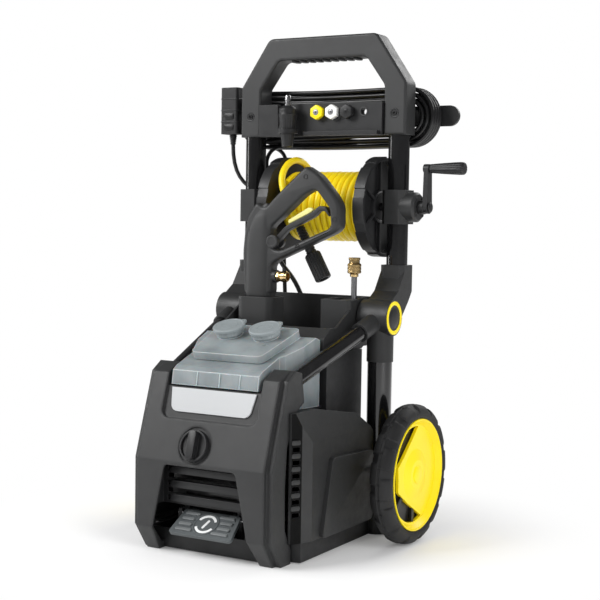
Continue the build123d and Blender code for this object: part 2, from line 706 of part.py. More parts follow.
def side_cover(side):
    """A moulded side panel with a sloping shoulder and a louvred front corner."""
    in_x = COVER_HALF_W + 1
    depth = SIDE_X - in_x
    with BuildPart() as made:
        with BuildSketch(across(side * in_x)):
            outline([(-190, BASE_TOP_Z + SLIP), (-190, SIDE_TOP_Z), (-120, SIDE_TOP_Z + 1),
                     (20, 236), (64, SIDE_CREASE_Z), (SIDE_BACK_Y, 196),
                     (SIDE_BACK_Y, BASE_TOP_Z + SLIP)])
        extrude(amount=side * depth)
        with BuildSketch(facing_front(120)):
            outline([(side * (SIDE_X + 1), SIDE_CREASE_Z), (side * SIDE_X, SIDE_CREASE_Z),
                     (side * 150, SIDE_TOP_Z + 2), (side * (SIDE_X + 1), SIDE_TOP_Z + 2)])
        extrude(amount=330, mode=Mode.SUBTRACT)
        with BuildSketch(Plane.XY.offset(0)):
            outline([(side * 146, -191), (side * 157, -172), (side * SIDE_X, -150),
                     (side * (SIDE_X + 2), -150), (side * (SIDE_X + 2), -191)])
        extrude(amount=300, mode=Mode.SUBTRACT)
        inner = made.faces().sort_by(Axis.X)[0 if side > 0 else -1]
        offset(amount=-3.5, openings=inner)
        with BuildSketch(across(side * (in_x - 1))):
            disc((AXLE_Y, WHEEL_R), AXLE_R + 1)
        extrude(amount=side * (depth + 2), mode=Mode.SUBTRACT)
        slope = degrees(atan2(19, 11))
        for z in LOUVRE_Z:
            with Locations(Location((side * 151.5, -181, z), (0, 0, side * slope))):
                Box(15, 30, 8, mode=Mode.SUBTRACT)
    return made


for word, side in SIDES.items():
    keep(f"{word}_side_cover", side_cover(side))

# =====================================================================
# front cover
# =====================================================================


def cover_side(set_back):
    """Side outline of the front cover, its front edge set back."""
    return [
        (-218 + set_back, 0), (FRONT_Y + set_back, 46), (FRONT_Y + set_back, KNEE_Z),
        (HORN_TOP_Y + set_back, HORN_TOP_Z), (-169, 328), (-148, 322), (-140, 272), (-174, 252),
        (-195, 200), (-200, 130), (-198, 60), (-178, 24), (-178, 0),
    ]


with BuildPart() as front_cover:
    with BuildSketch(across(-FACE_HALF_W)):
        outline(cover_side(0))
    extrude(amount=2 * FACE_HALF_W)
    with BuildSketch(across(-COVER_HALF_W)):
        outline(cover_side(GROOVE))
    extrude(amount=2 * COVER_HALF_W)
    with BuildSketch(across(WALL - COVER_HALF_W)):
        outline([(-214 + GROOVE, FOOT_H), (FRONT_Y + GROOVE + WALL, 47),
                 (FRONT_Y + GROOVE + WALL, KNEE_Z - 1), (face_y(232) + GROOVE + WALL, 232),
                 (-100, 232), (-100, FOOT_H)])
    extrude(amount=2 * (COVER_HALF_W - WALL), mode=Mode.SUBTRACT)
    with BuildSketch(across(WALL - FACE_HALF_W)):
        outline([(-214, FOOT_H), (FRONT_Y + WALL, 47), (FRONT_Y + WALL, KNEE_Z - 1),
                 (face_y(232) + WALL, 232), (-100, 232), (-100, FOOT_H)])
    extrude(amount=2 * (FACE_HALF_W - WALL), mode=Mode.SUBTRACT)
    with BuildSketch(across(1 - HORN_IN_X)):
        outline([(face_y(231) + 12.6, 231), (face_y(PLATE_TOP_Z) + 12.6, PLATE_TOP_Z),
                 (-100, PLATE_TOP_Z), (-100, 231)])
    extrude(amount=2 * (HORN_IN_X - 1), mode=Mode.SUBTRACT)
    with BuildSketch(across(-HORN_IN_X)):
        outline([(-260, PLATE_TOP_Z - 1), (-260, 340), (-100, 340), (-100, PLATE_TOP_Z - 1)])
    extrude(amount=2 * HORN_IN_X, mode=Mode.SUBTRACT)
    for side in SIDES.values():
        with BuildSketch(across(side * (HORN_IN_X + WALL))):
            outline([(face_y(231) + GROOVE + WALL, 231), (HORN_TOP_Y + GROOVE + WALL + 3, 308),
                     (-169, 323), (-130, 318), (-130, 231)])
        extrude(amount=side * (COVER_HALF_W - HORN_IN_X - 2 * WALL), mode=Mode.SUBTRACT)
        hub, front = strut_ends(side)
        with BuildSketch(along(front + (front - hub).normalized() * SEAT, hub)):
            Circle(STRUT_R + SLIP)
        extrude(amount=80, mode=Mode.SUBTRACT)
    with BuildSketch(face_plane(POCKET_LOW_Z)):
        tall = (HORN_TOP_Z - POCKET_LOW_Z) / cos(FACE_TILT) + 10
        with Locations((0, tall / 2)):
            Rectangle(2 * HORN_IN_X, tall)
        fillet(vertices().group_by(Axis.Y)[0], 16)
    extrude(amount=-POCKET_DEPTH, mode=Mode.SUBTRACT)
    with BuildSketch(facing_front(-255)):
        outline([(-MOUTH_TOP_X, MOUTH_TOP_Z), (MOUTH_TOP_X, MOUTH_TOP_Z),
                 (MOUTH_LOW_X, MOUTH_LOW_Z), (105, -1), (-105, -1), (-MOUTH_LOW_X, MOUTH_LOW_Z)])
        fillet(vertices().group_by(Axis.Y)[-1], 9)
    extrude(amount=-90, mode=Mode.SUBTRACT)
    with BuildSketch(face_plane(KNOB_Z)):
        disc((KNOB_X, 0), 33)
    extrude(amount=-2, mode=Mode.SUBTRACT)
    with BuildSketch(face_plane(KNOB_Z, behind=-1)):
        disc((KNOB_X, 0), 5 + RUN)
    extrude(amount=-20, mode=Mode.SUBTRACT)
keep("front_cover", front_cover)

with BuildPart() as nameplate:
    with BuildSketch(face_plane(POCKET_LOW_Z, behind=POCKET_DEPTH - SLIP)):
        low = (PLATE_LOW_Z - POCKET_LOW_Z) / cos(FACE_TILT)
        high = (PLATE_TOP_Z - 2 - POCKET_LOW_Z) / cos(FACE_TILT)
        outline([(-87, high), (87, high), (80, low), (-80, low)])
        fillet(vertices().group_by(Axis.Y)[0], 14)
    extrude(amount=3)
keep("nameplate", nameplate)

with BuildPart() as selector_knob:
    with BuildSketch(face_plane(KNOB_Z, behind=2 - SEAT)):
        disc((KNOB_X, 0), 28)
    extrude(amount=9)
    chamfer(selector_knob.faces().sort_by(Axis.Y)[0].edges(), 1.5)
    with BuildSketch(face_plane(KNOB_Z, behind=-6)):
        with Locations((KNOB_X, 0)):
            RectangleRounded(13, KNOB_BAR, 5)
    extrude(amount=KNOB_OUT - 6)
    with BuildSketch(face_plane(KNOB_Z, behind=1)):
        disc((KNOB_X, 0), 5)
    extrude(amount=-16)
keep("selector_knob", selector_knob)

GRILLE_FRONT_Y = FRONT_Y + WALL + SEAT
with BuildPart() as front_grille:
    with BuildSketch(facing_front(-208)):
        outline([(-103, 84), (-103, MOUTH_TOP_Z + 4), (103, MOUTH_TOP_Z + 4), (103, 84)])
    extrude(amount=-208 - GRILLE_FRONT_Y)
    with BuildSketch(facing_front(-213)):
        outline([(-100, 80), (-100, MOUTH_TOP_Z + 1), (100, MOUTH_TOP_Z + 1), (100, 80)])
    extrude(amount=50, mode=Mode.SUBTRACT)
    for z in (94.0, 107.0, 120.0, 133.0, 146.0):
        with BuildSketch(facing_front(-200)):
            with Locations((0, z)):
                Rectangle(180, 8)
        extrude(amount=20, mode=Mode.SUBTRACT)
keep("front_grille", front_grille)

# =====================================================================
# foot pedal
# =====================================================================

pedal_rise = Vector(0, PEDAL_BACK[0] - PEDAL_FRONT[0], PEDAL_BACK[1] - PEDAL_FRONT[1])
pedal_plane = Plane(
    origin=(0, (PEDAL_BACK[0] + PEDAL_FRONT[0]) / 2, (PEDAL_BACK[1] + PEDAL_FRONT[1]) / 2),
    x_dir=(1, 0, 0),
    z_dir=Vector(1, 0, 0).cross(pedal_rise.normalized()),
)
with BuildPart() as foot_pedal:
    half = pedal_rise.length / 2
    with BuildSketch(pedal_plane):
        outline([(-57.5, half), (57.5, half), (64.5, -half), (-64.5, -half)])
        fillet(vertices(), 6)
    extrude(amount=-6)
    for side in SIDES.values():
        for row in (-16.0, -8.0, 8.0, 16.0):
            with BuildSketch(pedal_plane):
                with Locations((side * 40, row)):
                    Rectangle(24, 4)
            extrude(amount=1.5)
        with BuildSketch(across(side * 50)):
            with Locations(PEDAL_PIN):
                Circle(PIN_R + 3.5)
                Rectangle(2 * PIN_R + 7, PIN_R + 3.5, align=(Align.CENTER, Align.MIN))
        extrude(amount=side * -14)
    with BuildSketch(across(-60)):
        with Locations(PEDAL_PIN):
            Circle(PIN_R + RUN)
    extrude(amount=120, mode=Mode.SUBTRACT)
keep("foot_pedal", foot_pedal)

with BuildPart() as pedal_pin:
    with BuildSketch(across(-75)):
        with Locations(PEDAL_PIN):
            Circle(PIN_R)
    extrude(amount=150)
keep("pedal_pin", pedal_pin)

# =====================================================================
# detergent tank and its caps
# =====================================================================

SLOPE = radians(TANK_SLOPE)
TANK_UP = Vector(0, -sin(SLOPE), cos(SLOPE))
PLATEAU_Z = 375.0          # height of the raised top at the caps
PLATEAU = Plane(origin=(0, CAP_Y, PLATEAU_Z), x_dir=(1, 0, 0), z_dir=TANK_UP)


def shoulder_z(y):
    """Height of the tank's shoulder."""
    return 322 + (y + 195) * 0.385


with BuildPart() as soap_tank:
    with BuildSketch(Plane.XY.offset(SHELF_Z + SEAT)):
        outline([
            (-TANK_FRONT_X, TANK_FRONT_Y), (TANK_FRONT_X, TANK_FRONT_Y), (TANK_FRONT_X, -138),
            (TANK_FRONT_X + 8, -130), (TANK_BACK_X - 5, -94), (TANK_BACK_X, TANK_BACK_Y),
            (-TANK_BACK_X, TANK_BACK_Y), (5 - TANK_BACK_X, -94), (-TANK_FRONT_X - 8, -130),
            (-TANK_FRONT_X, -138),
        ])
    extrude(amount=150)
    with BuildSketch(across(-130)):
        outline([(-197, 200), (-192, 291.5), (TANK_FRONT_Y, 293), (-203, 318), (-193, 325),
                 (-58, shoulder_z(-58)), (TANK_BACK_Y, shoulder_z(-70)), (TANK_BACK_Y, 200)])
    extrude(amount=260, mode=Mode.INTERSECT)
    with BuildSketch(PLATEAU.offset(-14)):
        outline([(-73, -80), (73, -80), (86, 44), (-86, 44)])
        fillet(vertices(), 12)
    extrude(amount=14)
    with BuildSketch(PLATEAU):
        with Locations((-CAP_X, 0), (CAP_X, 0)):
            Circle(NECK_R)
    extrude(amount=12)
keep("soap_tank", soap_tank)


def tank_cap(x):
    """A screw cap with a scalloped skirt, turned over the tank's neck."""
    with BuildPart() as made:
        with BuildSketch(PLATEAU.offset(4)):
            with Locations((x, 0)):
                Circle(CAP_R - 3)
                Circle(NECK_R + SEAT, mode=Mode.SUBTRACT)
        extrude(amount=9)
        with BuildSketch(PLATEAU.offset(12 + SEAT)):
            disc((x, 0), CAP_R)
        extrude(amount=7)
        chamfer(made.faces().sort_by(Axis(PLATEAU.origin, PLATEAU.z_dir))[-1].edges(), 1)
        with BuildSketch(PLATEAU.offset(12 + SEAT)):
            with Locations((x + 12, 26)):
                RectangleRounded(16, 14, 4)
        extrude(amount=4)
    return made


for word, side in SIDES.items():
    keep(f"{word}_tank_cap", tank_cap(side * CAP_X))

# =====================================================================
# accessory tray
# =====================================================================

with BuildPart() as accessory_tray:
    with BuildSketch(across(-TRAY_X)):
        outline([(TRAY_FRONT_Y, HOUSE_TOP_Z + SEAT), (TRAY_FRONT_Y, 372), (-18, TRAY_LIP_Z),
                 (4, TRAY_LIP_Z), (93, TRAY_RIM_Z), (TRAY_BACK_Y, TRAY_RIM_Z + 1),
                 (TRAY_BACK_Y, HOUSE_TOP_Z + 20), (HOUSE_BACK_Y + 6, HOUSE_TOP_Z + SEAT)])
    extrude(amount=2 * TRAY_X)
    with BuildSketch(across(WALL - TRAY_X)):
        outline([(TRAY_FRONT_Y + WALL, HOUSE_TOP_Z + 5), (TRAY_FRONT_Y + WALL, 370),
                 (-16, TRAY_LIP_Z - 2), (-16, 460), (TRAY_BACK_Y - WALL, 460),
                 (TRAY_BACK_Y - WALL, HOUSE_TOP_Z + 22), (HOUSE_BACK_Y, HOUSE_TOP_Z + 5)])
    extrude(amount=2 * (TRAY_X - WALL), mode=Mode.SUBTRACT)
    with BuildSketch(Plane.XY.offset(HOUSE_TOP_Z + 4)):
        with Locations((HOLSTER_X, GUN_Y)):
            RectangleRounded(78, 58, 14)
        with Locations(((57 + TRAY_X) / 2, 96)):
            RectangleRounded(TRAY_X - 57, 84, 8)
    extrude(amount=436 - HOUSE_TOP_Z - 4)
    with BuildSketch(Plane.XY.offset(HOUSE_TOP_Z + 20)):
        with Locations((HOLSTER_X, GUN_Y)):
            RectangleRounded(66, 46, 12)
    extrude(amount=100, mode=Mode.SUBTRACT)
    with BuildSketch(Plane.XY.offset(HOUSE_TOP_Z - 5)):
        disc((WAND_X, WAND_Y), WAND_R + SLIP)
    extrude(amount=120, mode=Mode.SUBTRACT)
    with BuildSketch(Plane.XY.offset(410)):
        with Locations((78, 96)):
            RectangleRounded(34, 70, 6)
    extrude(amount=30, mode=Mode.SUBTRACT)
keep("accessory_tray", accessory_tray)

# =====================================================================
# spray gun and wand
# =====================================================================

TRIGGER_PIN = (-37.0, 541.0)
TRIGGER_W = 14.0
GUN_FOOT_Z = HOUSE_TOP_Z + 20 + SEAT
BARREL_W = 60.0
BARREL_D = 38.0

with BuildPart() as gun_body:
    with BuildSketch(facing_front(GUN_Y + GUN_T / 2)):
        outline([(-74, 616), (-93, 588), (-100, 560), (-104, 520), (-100, 440), (-40, 440),
                 (-40, 496), (-28, 505), (95, 559), (106, 569), (106, 609), (95, 627),
                 (62, 665), (34, 681), (29, 679), (-28, 630), (-56, 603)])
        outline([(53, 640), (84, 604), (87, 569), (-20, 525), (-36, 527), (-45, 544),
                 (-43, 568), (-27, 580), (28, 628)], mode=Mode.SUBTRACT)
    extrude(amount=GUN_T)
    ends = gun_body.edges().group_by(Axis.Y)
    chamfer(ends[0] + ends[-1], 5)
    with BuildSketch(Plane.XY.offset(GUN_FOOT_Z)):
        with Locations((HOLSTER_X - 2, GUN_Y)):
            RectangleRounded(BARREL_W - 6, BARREL_D, 17)
    with BuildSketch(Plane.XY.offset(535)):
        with Locations((HOLSTER_X - 2, GUN_Y)):
            RectangleRounded(BARREL_W - 2, BARREL_D, 17)
    loft()
    with BuildSketch(facing_front(GUN_Y + GUN_T / 2 - 3)):
        disc(TRIGGER_PIN, 12)
    extrude(amount=GUN_T - 6)
    with BuildSketch(facing_front(GUN_Y + TRIGGER_W / 2 + 0.5)):
        disc(TRIGGER_PIN, 13)
    extrude(amount=TRIGGER_W + 1, mode=Mode.SUBTRACT)
    with BuildSketch(facing_front(GUN_Y + TRIGGER_W / 2 + 2)):
        disc(TRIGGER_PIN, 2.5)
    extrude(amount=TRIGGER_W + 4)
    with BuildSketch(across(HOLSTER_X + 20)):
        disc((GUN_Y, 475), 12)
    extrude(amount=16)
keep("gun_body", gun_body)

with BuildPart() as gun_inlet:
    with BuildSketch(across(HOLSTER_X + 36 + SLIP)):
        with Locations((GUN_Y, 475)):
            Circle(11)
            Circle(7, mode=Mode.SUBTRACT)
    extrude(amount=22)
keep("gun_inlet", gun_inlet)

with BuildPart() as gun_trigger:
    with BuildSketch(facing_front(GUN_Y + TRIGGER_W / 2)):
        outline([(-40, 545), (-28, 556), (-14, 570), (44, 597), (58, 609), (74, 607),
                 (82, 592), (79, 589), (71, 599), (60, 600), (48, 588), (-8, 562), (-20, 550),
                 (-31, 537)])
        disc(TRIGGER_PIN, 7)
        with Locations(TRIGGER_PIN):
            Circle(2.5 + RUN, mode=Mode.SUBTRACT)
    extrude(amount=TRIGGER_W)
keep("gun_trigger", gun_trigger)

with BuildPart() as trigger_lock:
    with BuildSketch(facing_front(GUN_Y + 5)):
        outline([(-6, 574.2), (38, 594.7), (38, 599), (34, 600), (-8, 579)])
    extrude(amount=10)
keep("trigger_lock", trigger_lock)

WAND_FOOT_Z = 6.0 + SEAT
COLLAR_FOOT_Z = 478.0
with BuildPart() as wand_tube:
    with BuildSketch(Plane.XY.offset(WAND_FOOT_Z)):
        disc((WAND_X, WAND_Y), WAND_R)
    extrude(amount=COLLAR_FOOT_Z - WAND_FOOT_Z)
keep("wand_tube", wand_tube)

with BuildPart() as wand_coupling:
    with BuildSketch(Plane.XZ):
        foot = COLLAR_FOOT_Z + SLIP
        outline([(0, foot), (8, foot), (8, foot + 6), (13, foot + 8), (13, foot + 24),
                 (10, foot + 26), (10, foot + 32), (11, foot + 33), (11, foot + 36),
                 (6, foot + 36), (6, foot + 20), (0, foot + 20)])
    revolve(axis=Axis.Z)
wand_coupling.part = wand_coupling.part.moved(Location((WAND_X, WAND_Y, 0)))
keep("wand_coupling", wand_coupling)

# =====================================================================
# cords: the power cord with its plug, the hose's free end, the feed hose
# =====================================================================


def tube(name, points, diameter, limp=False):
    """A cord's tube along a hand-chosen route of runs and tangent arcs."""
    route = [Vector(*p) for p in points]
    radii = []
    for before, here, after in zip(route, route[1:], route[2:]):
        turn = (here - before).get_angle(after - here)
        shorter = min((here - before).length, (after - here).length)
        radii.append(0.45 * shorter / tan(radians(turn) / 2))
    print(name, "radii", [round(r, 1) for r in radii], "least", (3 if limp else 5) * diameter)
    with BuildPart() as made:
        with BuildLine() as path:
            FilletPolyline(*route, radius=radii)
        run = path.wires()[0]
        with BuildSketch(Plane(origin=route[0], z_dir=(route[1] - route[0]).normalized())):
            Circle(diameter / 2)
        sweep(path=run)
    print(name, "volume", round(made.part.volume / (pi * diameter**2 / 4 * run.length), 4))
    return made


with BuildPart() as cord_coil:
    with BuildSketch(facing_front(COIL_Y[1])):
        with Locations((0, COIL_Z)):
            RectangleRounded(2 * COIL_HALF_L, 2 * COIL_HALF_H, COIL_HALF_H - 1)
            RectangleRounded(2 * (COIL_HALF_L - COIL_BUILD), 2 * (COIL_HALF_H - COIL_BUILD),
                             COIL_HALF_H - COIL_BUILD - 1, mode=Mode.SUBTRACT)
    extrude(amount=COIL_Y[1] - COIL_Y[0])
    chamfer(cord_coil.edges().group_by(Axis.Y)[0] + cord_coil.edges().group_by(Axis.Y)[-1], 5)
keep("cord_coil", cord_coil)

PLUG_FOOT_Z = 752.0
with BuildPart() as gfci_plug:
    with BuildSketch(Plane.XY.offset(PLUG_FOOT_Z)):
        with Locations((PLUG_X, PLUG_Y)):
            RectangleRounded(41, 35, 5)
    extrude(amount=94)
    chamfer(gfci_plug.faces().sort_by(Axis.Z)[-1].edges(), 3)
    with BuildSketch(Plane.XY.offset(PLUG_FOOT_Z)):
        disc((PLUG_X, PLUG_Y), 8)
    with BuildSketch(Plane.XY.offset(PLUG_FOOT_Z - 20)):
        disc((PLUG_X, PLUG_Y), 5.2)
    loft()
keep("gfci_plug", gfci_plug)

PLUG_LEAD = [
    (PLUG_X, PLUG_Y, PLUG_FOOT_Z - 20), (PLUG_X, PLUG_Y, 690), (-200, 200, 646),
    (-160, 222, 632), (-122, 228, 660), (-122, 228, COIL_Z - COIL_HALF_H),
]
keep("plug_lead", tube("plug_lead", PLUG_LEAD, CORD_D))

GLAND_X = -90.0
GLAND_Z = 306.0
MACHINE_LEAD = [
    (-156, 206, COIL_Z - COIL_HALF_H), (-156, 206, 686), (-142, 206, 640), (-122, 206, 590),
    (-112, 204, 530), (-104, 196, 470), (-96, 188, 400), (-91, 184, GLAND_Z + 28),
    (GLAND_X, 156, GLAND_Z), (GLAND_X, HOUSE_BACK_Y + 18, GLAND_Z),
]
keep("machine_lead", tube("machine_lead", MACHINE_LEAD, CORD_D))

FEED_X = -35.0
FEED_Z = 296.0
FEED_D = 9.0
with BuildPart() as back_fittings:
    with BuildSketch(facing_front(HOUSE_BACK_Y + SLIP)):
        with Locations((GLAND_X, GLAND_Z)):
            RegularPolygon(11, 6)
        with Locations((FEED_X, FEED_Z)):
            RegularPolygon(12, 6)
    extrude(amount=-8)
    with BuildSketch(facing_front(HOUSE_BACK_Y + 8)):
        with Locations((GLAND_X, GLAND_Z), (FEED_X, FEED_Z)):
            Circle(7)
    extrude(amount=-10)
keep("back_fittings", back_fittings)

SWIVEL_X = -112.0
with BuildPart() as reel_swivel:
    with BuildSketch(across(SWIVEL_X - 12)):
        with Locations((TUBE_Y, REEL_Z)):
            Circle(15)
            Circle(SHAFT_R + RUN, mode=Mode.SUBTRACT)
    extrude(amount=24)
    with BuildSketch(Plane.XY.offset(REEL_Z - SHAFT_R - 2)):
        disc((SWIVEL_X, TUBE_Y), 7.5)
    extrude(amount=-24)
keep("reel_swivel", reel_swivel)

FEED_HOSE = [
    (SWIVEL_X, TUBE_Y, REEL_Z - SHAFT_R - 26), (SWIVEL_X, TUBE_Y, 538), (-101, 168, 500),
    (-68, 172, 466), (-50, 180, 424), (-39, 191, 378), (-36, 191, FEED_Z + 31),
    (FEED_X, 160, FEED_Z), (FEED_X, HOUSE_BACK_Y + 18, FEED_Z),
]
keep("feed_hose", tube("feed_hose", FEED_HOSE, FEED_D))

HOSE_FRONT_Y = TUBE_Y - WOUND_R - HOSE_D / 2 - SEAT
RELIEF_TOP = Vector(-10, HOSE_FRONT_Y - 1.2, 568)
NUT_END = Vector(46, HOSE_FRONT_Y - 5, 471)
NUT_AXIS = (NUT_END - RELIEF_TOP).normalized()


def over_reel(x, radius, angle):
    """A point round the reel's axis; the angle runs from its top towards the front."""
    return (x, TUBE_Y - radius * sin(radians(angle)), REEL_Z + radius * cos(radians(angle)))


HOSE_TAIL = [
    over_reel(-60, WOUND_R + 7.1, -80), over_reel(-60, WOUND_R + 13, -53),
    over_reel(-60, WOUND_R + 19, -27), over_reel(-60, WOUND_R + 24, 0),
    over_reel(-61, WOUND_R + 24, 25), over_reel(-58, WOUND_R + 22, 50),
    over_reel(-46, WOUND_R + 15, 73), tuple(RELIEF_TOP - NUT_AXIS * 40), tuple(RELIEF_TOP),
]
keep("hose_tail", tube("hose_tail", HOSE_TAIL, HOSE_D))
with BuildPart() as hose_end:
    with BuildSketch(along(RELIEF_TOP, NUT_END)):
        Circle(HOSE_D / 2 + 2)
    with BuildSketch(along(RELIEF_TOP + NUT_AXIS * 60, NUT_END + NUT_AXIS)):
        Circle(9.5)
    loft()
    with BuildSketch(along(RELIEF_TOP + NUT_AXIS * 60, NUT_END + NUT_AXIS)):
        Circle(14)
    extrude(amount=(NUT_END - RELIEF_TOP).length - 60)
keep("hose_end", hose_end)

# =====================================================================
# write the pieces
# =====================================================================

os.makedirs("parts", exist_ok=True)
for name, piece in pieces.items():
    placed = piece.moved(TO_ORIGIN)
    placed.label = name
    export_step(placed, f"parts/{name}.step")
print(len(pieces), "pieces, origin", ORIGIN_X, ORIGIN_Y)
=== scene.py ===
"""Pressure washer: the dressed model, in metres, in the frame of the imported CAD."""

import math

import bmesh
import bpy
from mathutils import Matrix, Vector, noise


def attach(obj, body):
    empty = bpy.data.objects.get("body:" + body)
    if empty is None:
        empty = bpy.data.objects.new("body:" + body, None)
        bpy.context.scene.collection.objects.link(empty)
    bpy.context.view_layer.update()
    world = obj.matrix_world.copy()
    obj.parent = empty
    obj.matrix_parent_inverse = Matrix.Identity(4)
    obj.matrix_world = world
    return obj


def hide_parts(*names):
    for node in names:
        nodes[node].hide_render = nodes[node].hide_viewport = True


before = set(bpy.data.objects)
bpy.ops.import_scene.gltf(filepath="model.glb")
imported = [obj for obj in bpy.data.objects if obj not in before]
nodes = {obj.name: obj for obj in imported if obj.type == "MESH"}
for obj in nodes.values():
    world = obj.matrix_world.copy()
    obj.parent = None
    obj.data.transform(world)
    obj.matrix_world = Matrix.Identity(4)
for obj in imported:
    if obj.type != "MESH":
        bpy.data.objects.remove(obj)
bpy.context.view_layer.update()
scene = bpy.context.scene
scene.view_settings.view_transform = "Standard"

# Where the machine's own middle plane lies in the row frame, in metres.
MID_X, MID_Y = -0.0155, -0.0012


def at(x, y, z):
    """A point given in millimetres from the machine's middle plane, in the row frame."""
    return Vector((x / 1000 + MID_X, y / 1000 + MID_Y, z / 1000))


# axes and planes that several sections share, in mm from the middle plane
TUBE_Y = 170  # the upper tubes, the handle and the reel's axis
REEL_Z, CRANK_Z = 609, 681
WHEEL_X, AXLE_Y, AXLE_Z = 243, 66.0, 127.0
PANEL_Y, NOZZLE_Z, NOZZLE_PITCH = 142, 788, 32.5
GUN_Y = 52
SIDES = (("left", -1), ("right", 1))
FRONT, UP, RIGHT = (0, -1, 0), (0, 0, 1), (1, 0, 0)

# ======== camera ========

forward = Vector((-0.50386, 0.86142, -0.06385))
right = Vector((0.86257, 0.50570, 0.01569))
up = Vector((-0.04581, 0.04717, 0.99784))
camera = bpy.data.objects.new("camera", bpy.data.cameras.new("camera"))
scene.collection.objects.link(camera)
camera.matrix_world = Matrix.Translation(at(1261.96, -2076.14, 590.11)) @ Matrix(
    (right, up, -forward)).transposed().to_4x4()
camera.data.sensor_width = 36.0
camera.data.lens = 79.13
camera.data.clip_end = 60
scene.camera = camera

# ======== small node-tree writer ========

BEVEL_SAMPLES = 4


class Tree:
    """Adds nodes to one material."""

    def __init__(self, name):
        self.material = bpy.data.materials.new(name)
        self.material.use_nodes = True
        self.tree = self.material.node_tree
        self.tree.nodes.clear()
        self.out = self.add("OutputMaterial")
        self.shader = self.add("BsdfPrincipled")
        self.join(self.shader, "BSDF", self.out, "Surface")

    def add(self, kind, **values):
        """Add a node, with values for its settings or its sockets."""
        node = self.tree.nodes.new("ShaderNode" + kind)
        for key, value in values.items():
            if hasattr(node, key):
                setattr(node, key, value)
            else:
                node.inputs[key.replace("_", " ").title()].default_value = value
        return node

    def join(self, a, out, b, into):
        self.tree.links.new(a.outputs[out], b.inputs[into])

    def set(self, **values):
        """Set constant values on the shader's own sockets."""
        for key, value in values.items():
            self.shader.inputs[key.replace("_", " ")].default_value = value

    def noise(self, scale, detail=3.0, rough=0.5, stretch=(1, 1, 1)):
        """A noise texture fixed to the piece, its scale per metre times stretch."""
        source = self.add("TexCoord")
        mapping = self.add("Mapping", Scale=stretch)
        self.join(source, "Object", mapping, "Vector")
        node = self.add("TexNoise", Scale=scale, Detail=detail, Roughness=rough)
        self.join(mapping, "Vector", node, "Vector")
        return node

    def ramp(self, source, out, low, high, start=0.35, end=0.65):
        """Map a texture to the colours low..high."""
        node = self.add("ValToRGB")
        node.color_ramp.elements[0].position = start
        node.color_ramp.elements[1].position = end
        node.color_ramp.elements[0].color = low
        node.color_ramp.elements[1].color = high
        self.join(source, out, node, "Fac")
        return node

    def span(self, source, out, low, high, start=0.3, end=0.7):
        """Map a texture to the numbers low..high."""
        node = self.add("MapRange", From_Min=start, From_Max=end, To_Min=low, To_Max=high)
        self.join(source, out, node, "Value")
        return node

    def surface(self, layers, edge=0.0):
        """Bump layers (texture, output, distance), over edges rounded by edge metres."""
        last = None
        if edge:
            last = self.add("Bevel", samples=BEVEL_SAMPLES, Radius=edge)
        for texture, out, distance in layers:
            bump = self.add("Bump", Distance=distance)
            self.join(texture, out, bump, "Height")
            if last:
                self.join(last, "Normal", bump, "Normal")
            last = bump
        if last:
            self.join(last, "Normal", self.shader, "Normal")

    def edges(self, radius):
        """1 on edges sharper than the rounding radius, 0 on flats."""
        bevel = self.add("Bevel", samples=BEVEL_SAMPLES, Radius=radius)
        geometry = self.add("NewGeometry")
        dot = self.add("VectorMath", operation="DOT_PRODUCT")
        self.tree.links.new(bevel.outputs["Normal"], dot.inputs[0])
        self.tree.links.new(geometry.outputs["Normal"], dot.inputs[1])
        return self.span(dot, "Value", 1.0, 0.0, 0.9, 0.995)

    def mix(self, factor, out, a, b):
        """Mix two colours, or colour outputs, by a factor output."""
        node = self.add("Mix", data_type="RGBA")
        self.tree.links.new(factor.outputs[out], node.inputs[0])
        for value, socket in ((a, 6), (b, 7)):
            if isinstance(value, tuple):
                node.inputs[socket].default_value = value
            else:
                out = "Result" if value.bl_idname.endswith("Mix") else 0
                self.tree.links.new(value.outputs[out], node.inputs[socket])
        return node


def rgb(value, k=1.0):
    """A colour times k, with full alpha."""
    return (value[0] * k, value[1] * k, value[2] * k, 1.0)


def moulded(name, colour, rough=0.5, grain=0.00006, spread=0.12, wear=0.5, edge=0.0012):
    """Moulded plastic: a fine spark-eroded grain, faint mottling, paler rubbed edges."""
    t = Tree(name)
    mottle = t.noise(9, 4)
    fine = t.noise(1500, 2, 0.6)
    dust = t.noise(60, 5, 0.65)
    base = t.ramp(mottle, "Fac", rgb(colour, 1 - spread), rgb(colour, 1 + spread))
    worn_and_lit_edges = t.edges(0.0016)
    pale = tuple(min(1.0, c * (1 + wear) + 0.012 * wear) for c in colour)
    tint = t.mix(worn_and_lit_edges, "Result", base, rgb(pale))
    t.join(tint, "Result", t.shader, "Base Color")
    smudge = 0.6 * min(spread, 0.12)
    gloss = t.span(dust, "Fac", rough - smudge, rough + smudge)
    t.join(gloss, "Result", t.shader, "Roughness")
    t.set(IOR=1.47)
    t.surface([(fine, "Fac", grain), (mottle, "Fac", spread / 1000)], edge=edge)
    return t.material


def painted(name, colour, rough=0.16):
    """Gloss paint on tube: an orange-peel ripple, faint scuffs along the tube."""
    t = Tree(name)
    peel = t.noise(260, 2)
    scuff = t.noise(40, 6, 0.7, stretch=(1, 1, 0.12))
    base = t.ramp(scuff, "Fac", rgb(colour), rgb(colour, 1.6), 0.45, 0.8)
    t.join(base, "Color", t.shader, "Base Color")
    gloss = t.span(scuff, "Fac", rough, rough + 0.12, 0.45, 0.8)
    t.join(gloss, "Result", t.shader, "Roughness")
    t.set(Coat_Weight=0.5, Coat_Roughness=0.08)
    t.surface([(peel, "Fac", 0.00003)], edge=0.0006)
    return t.material


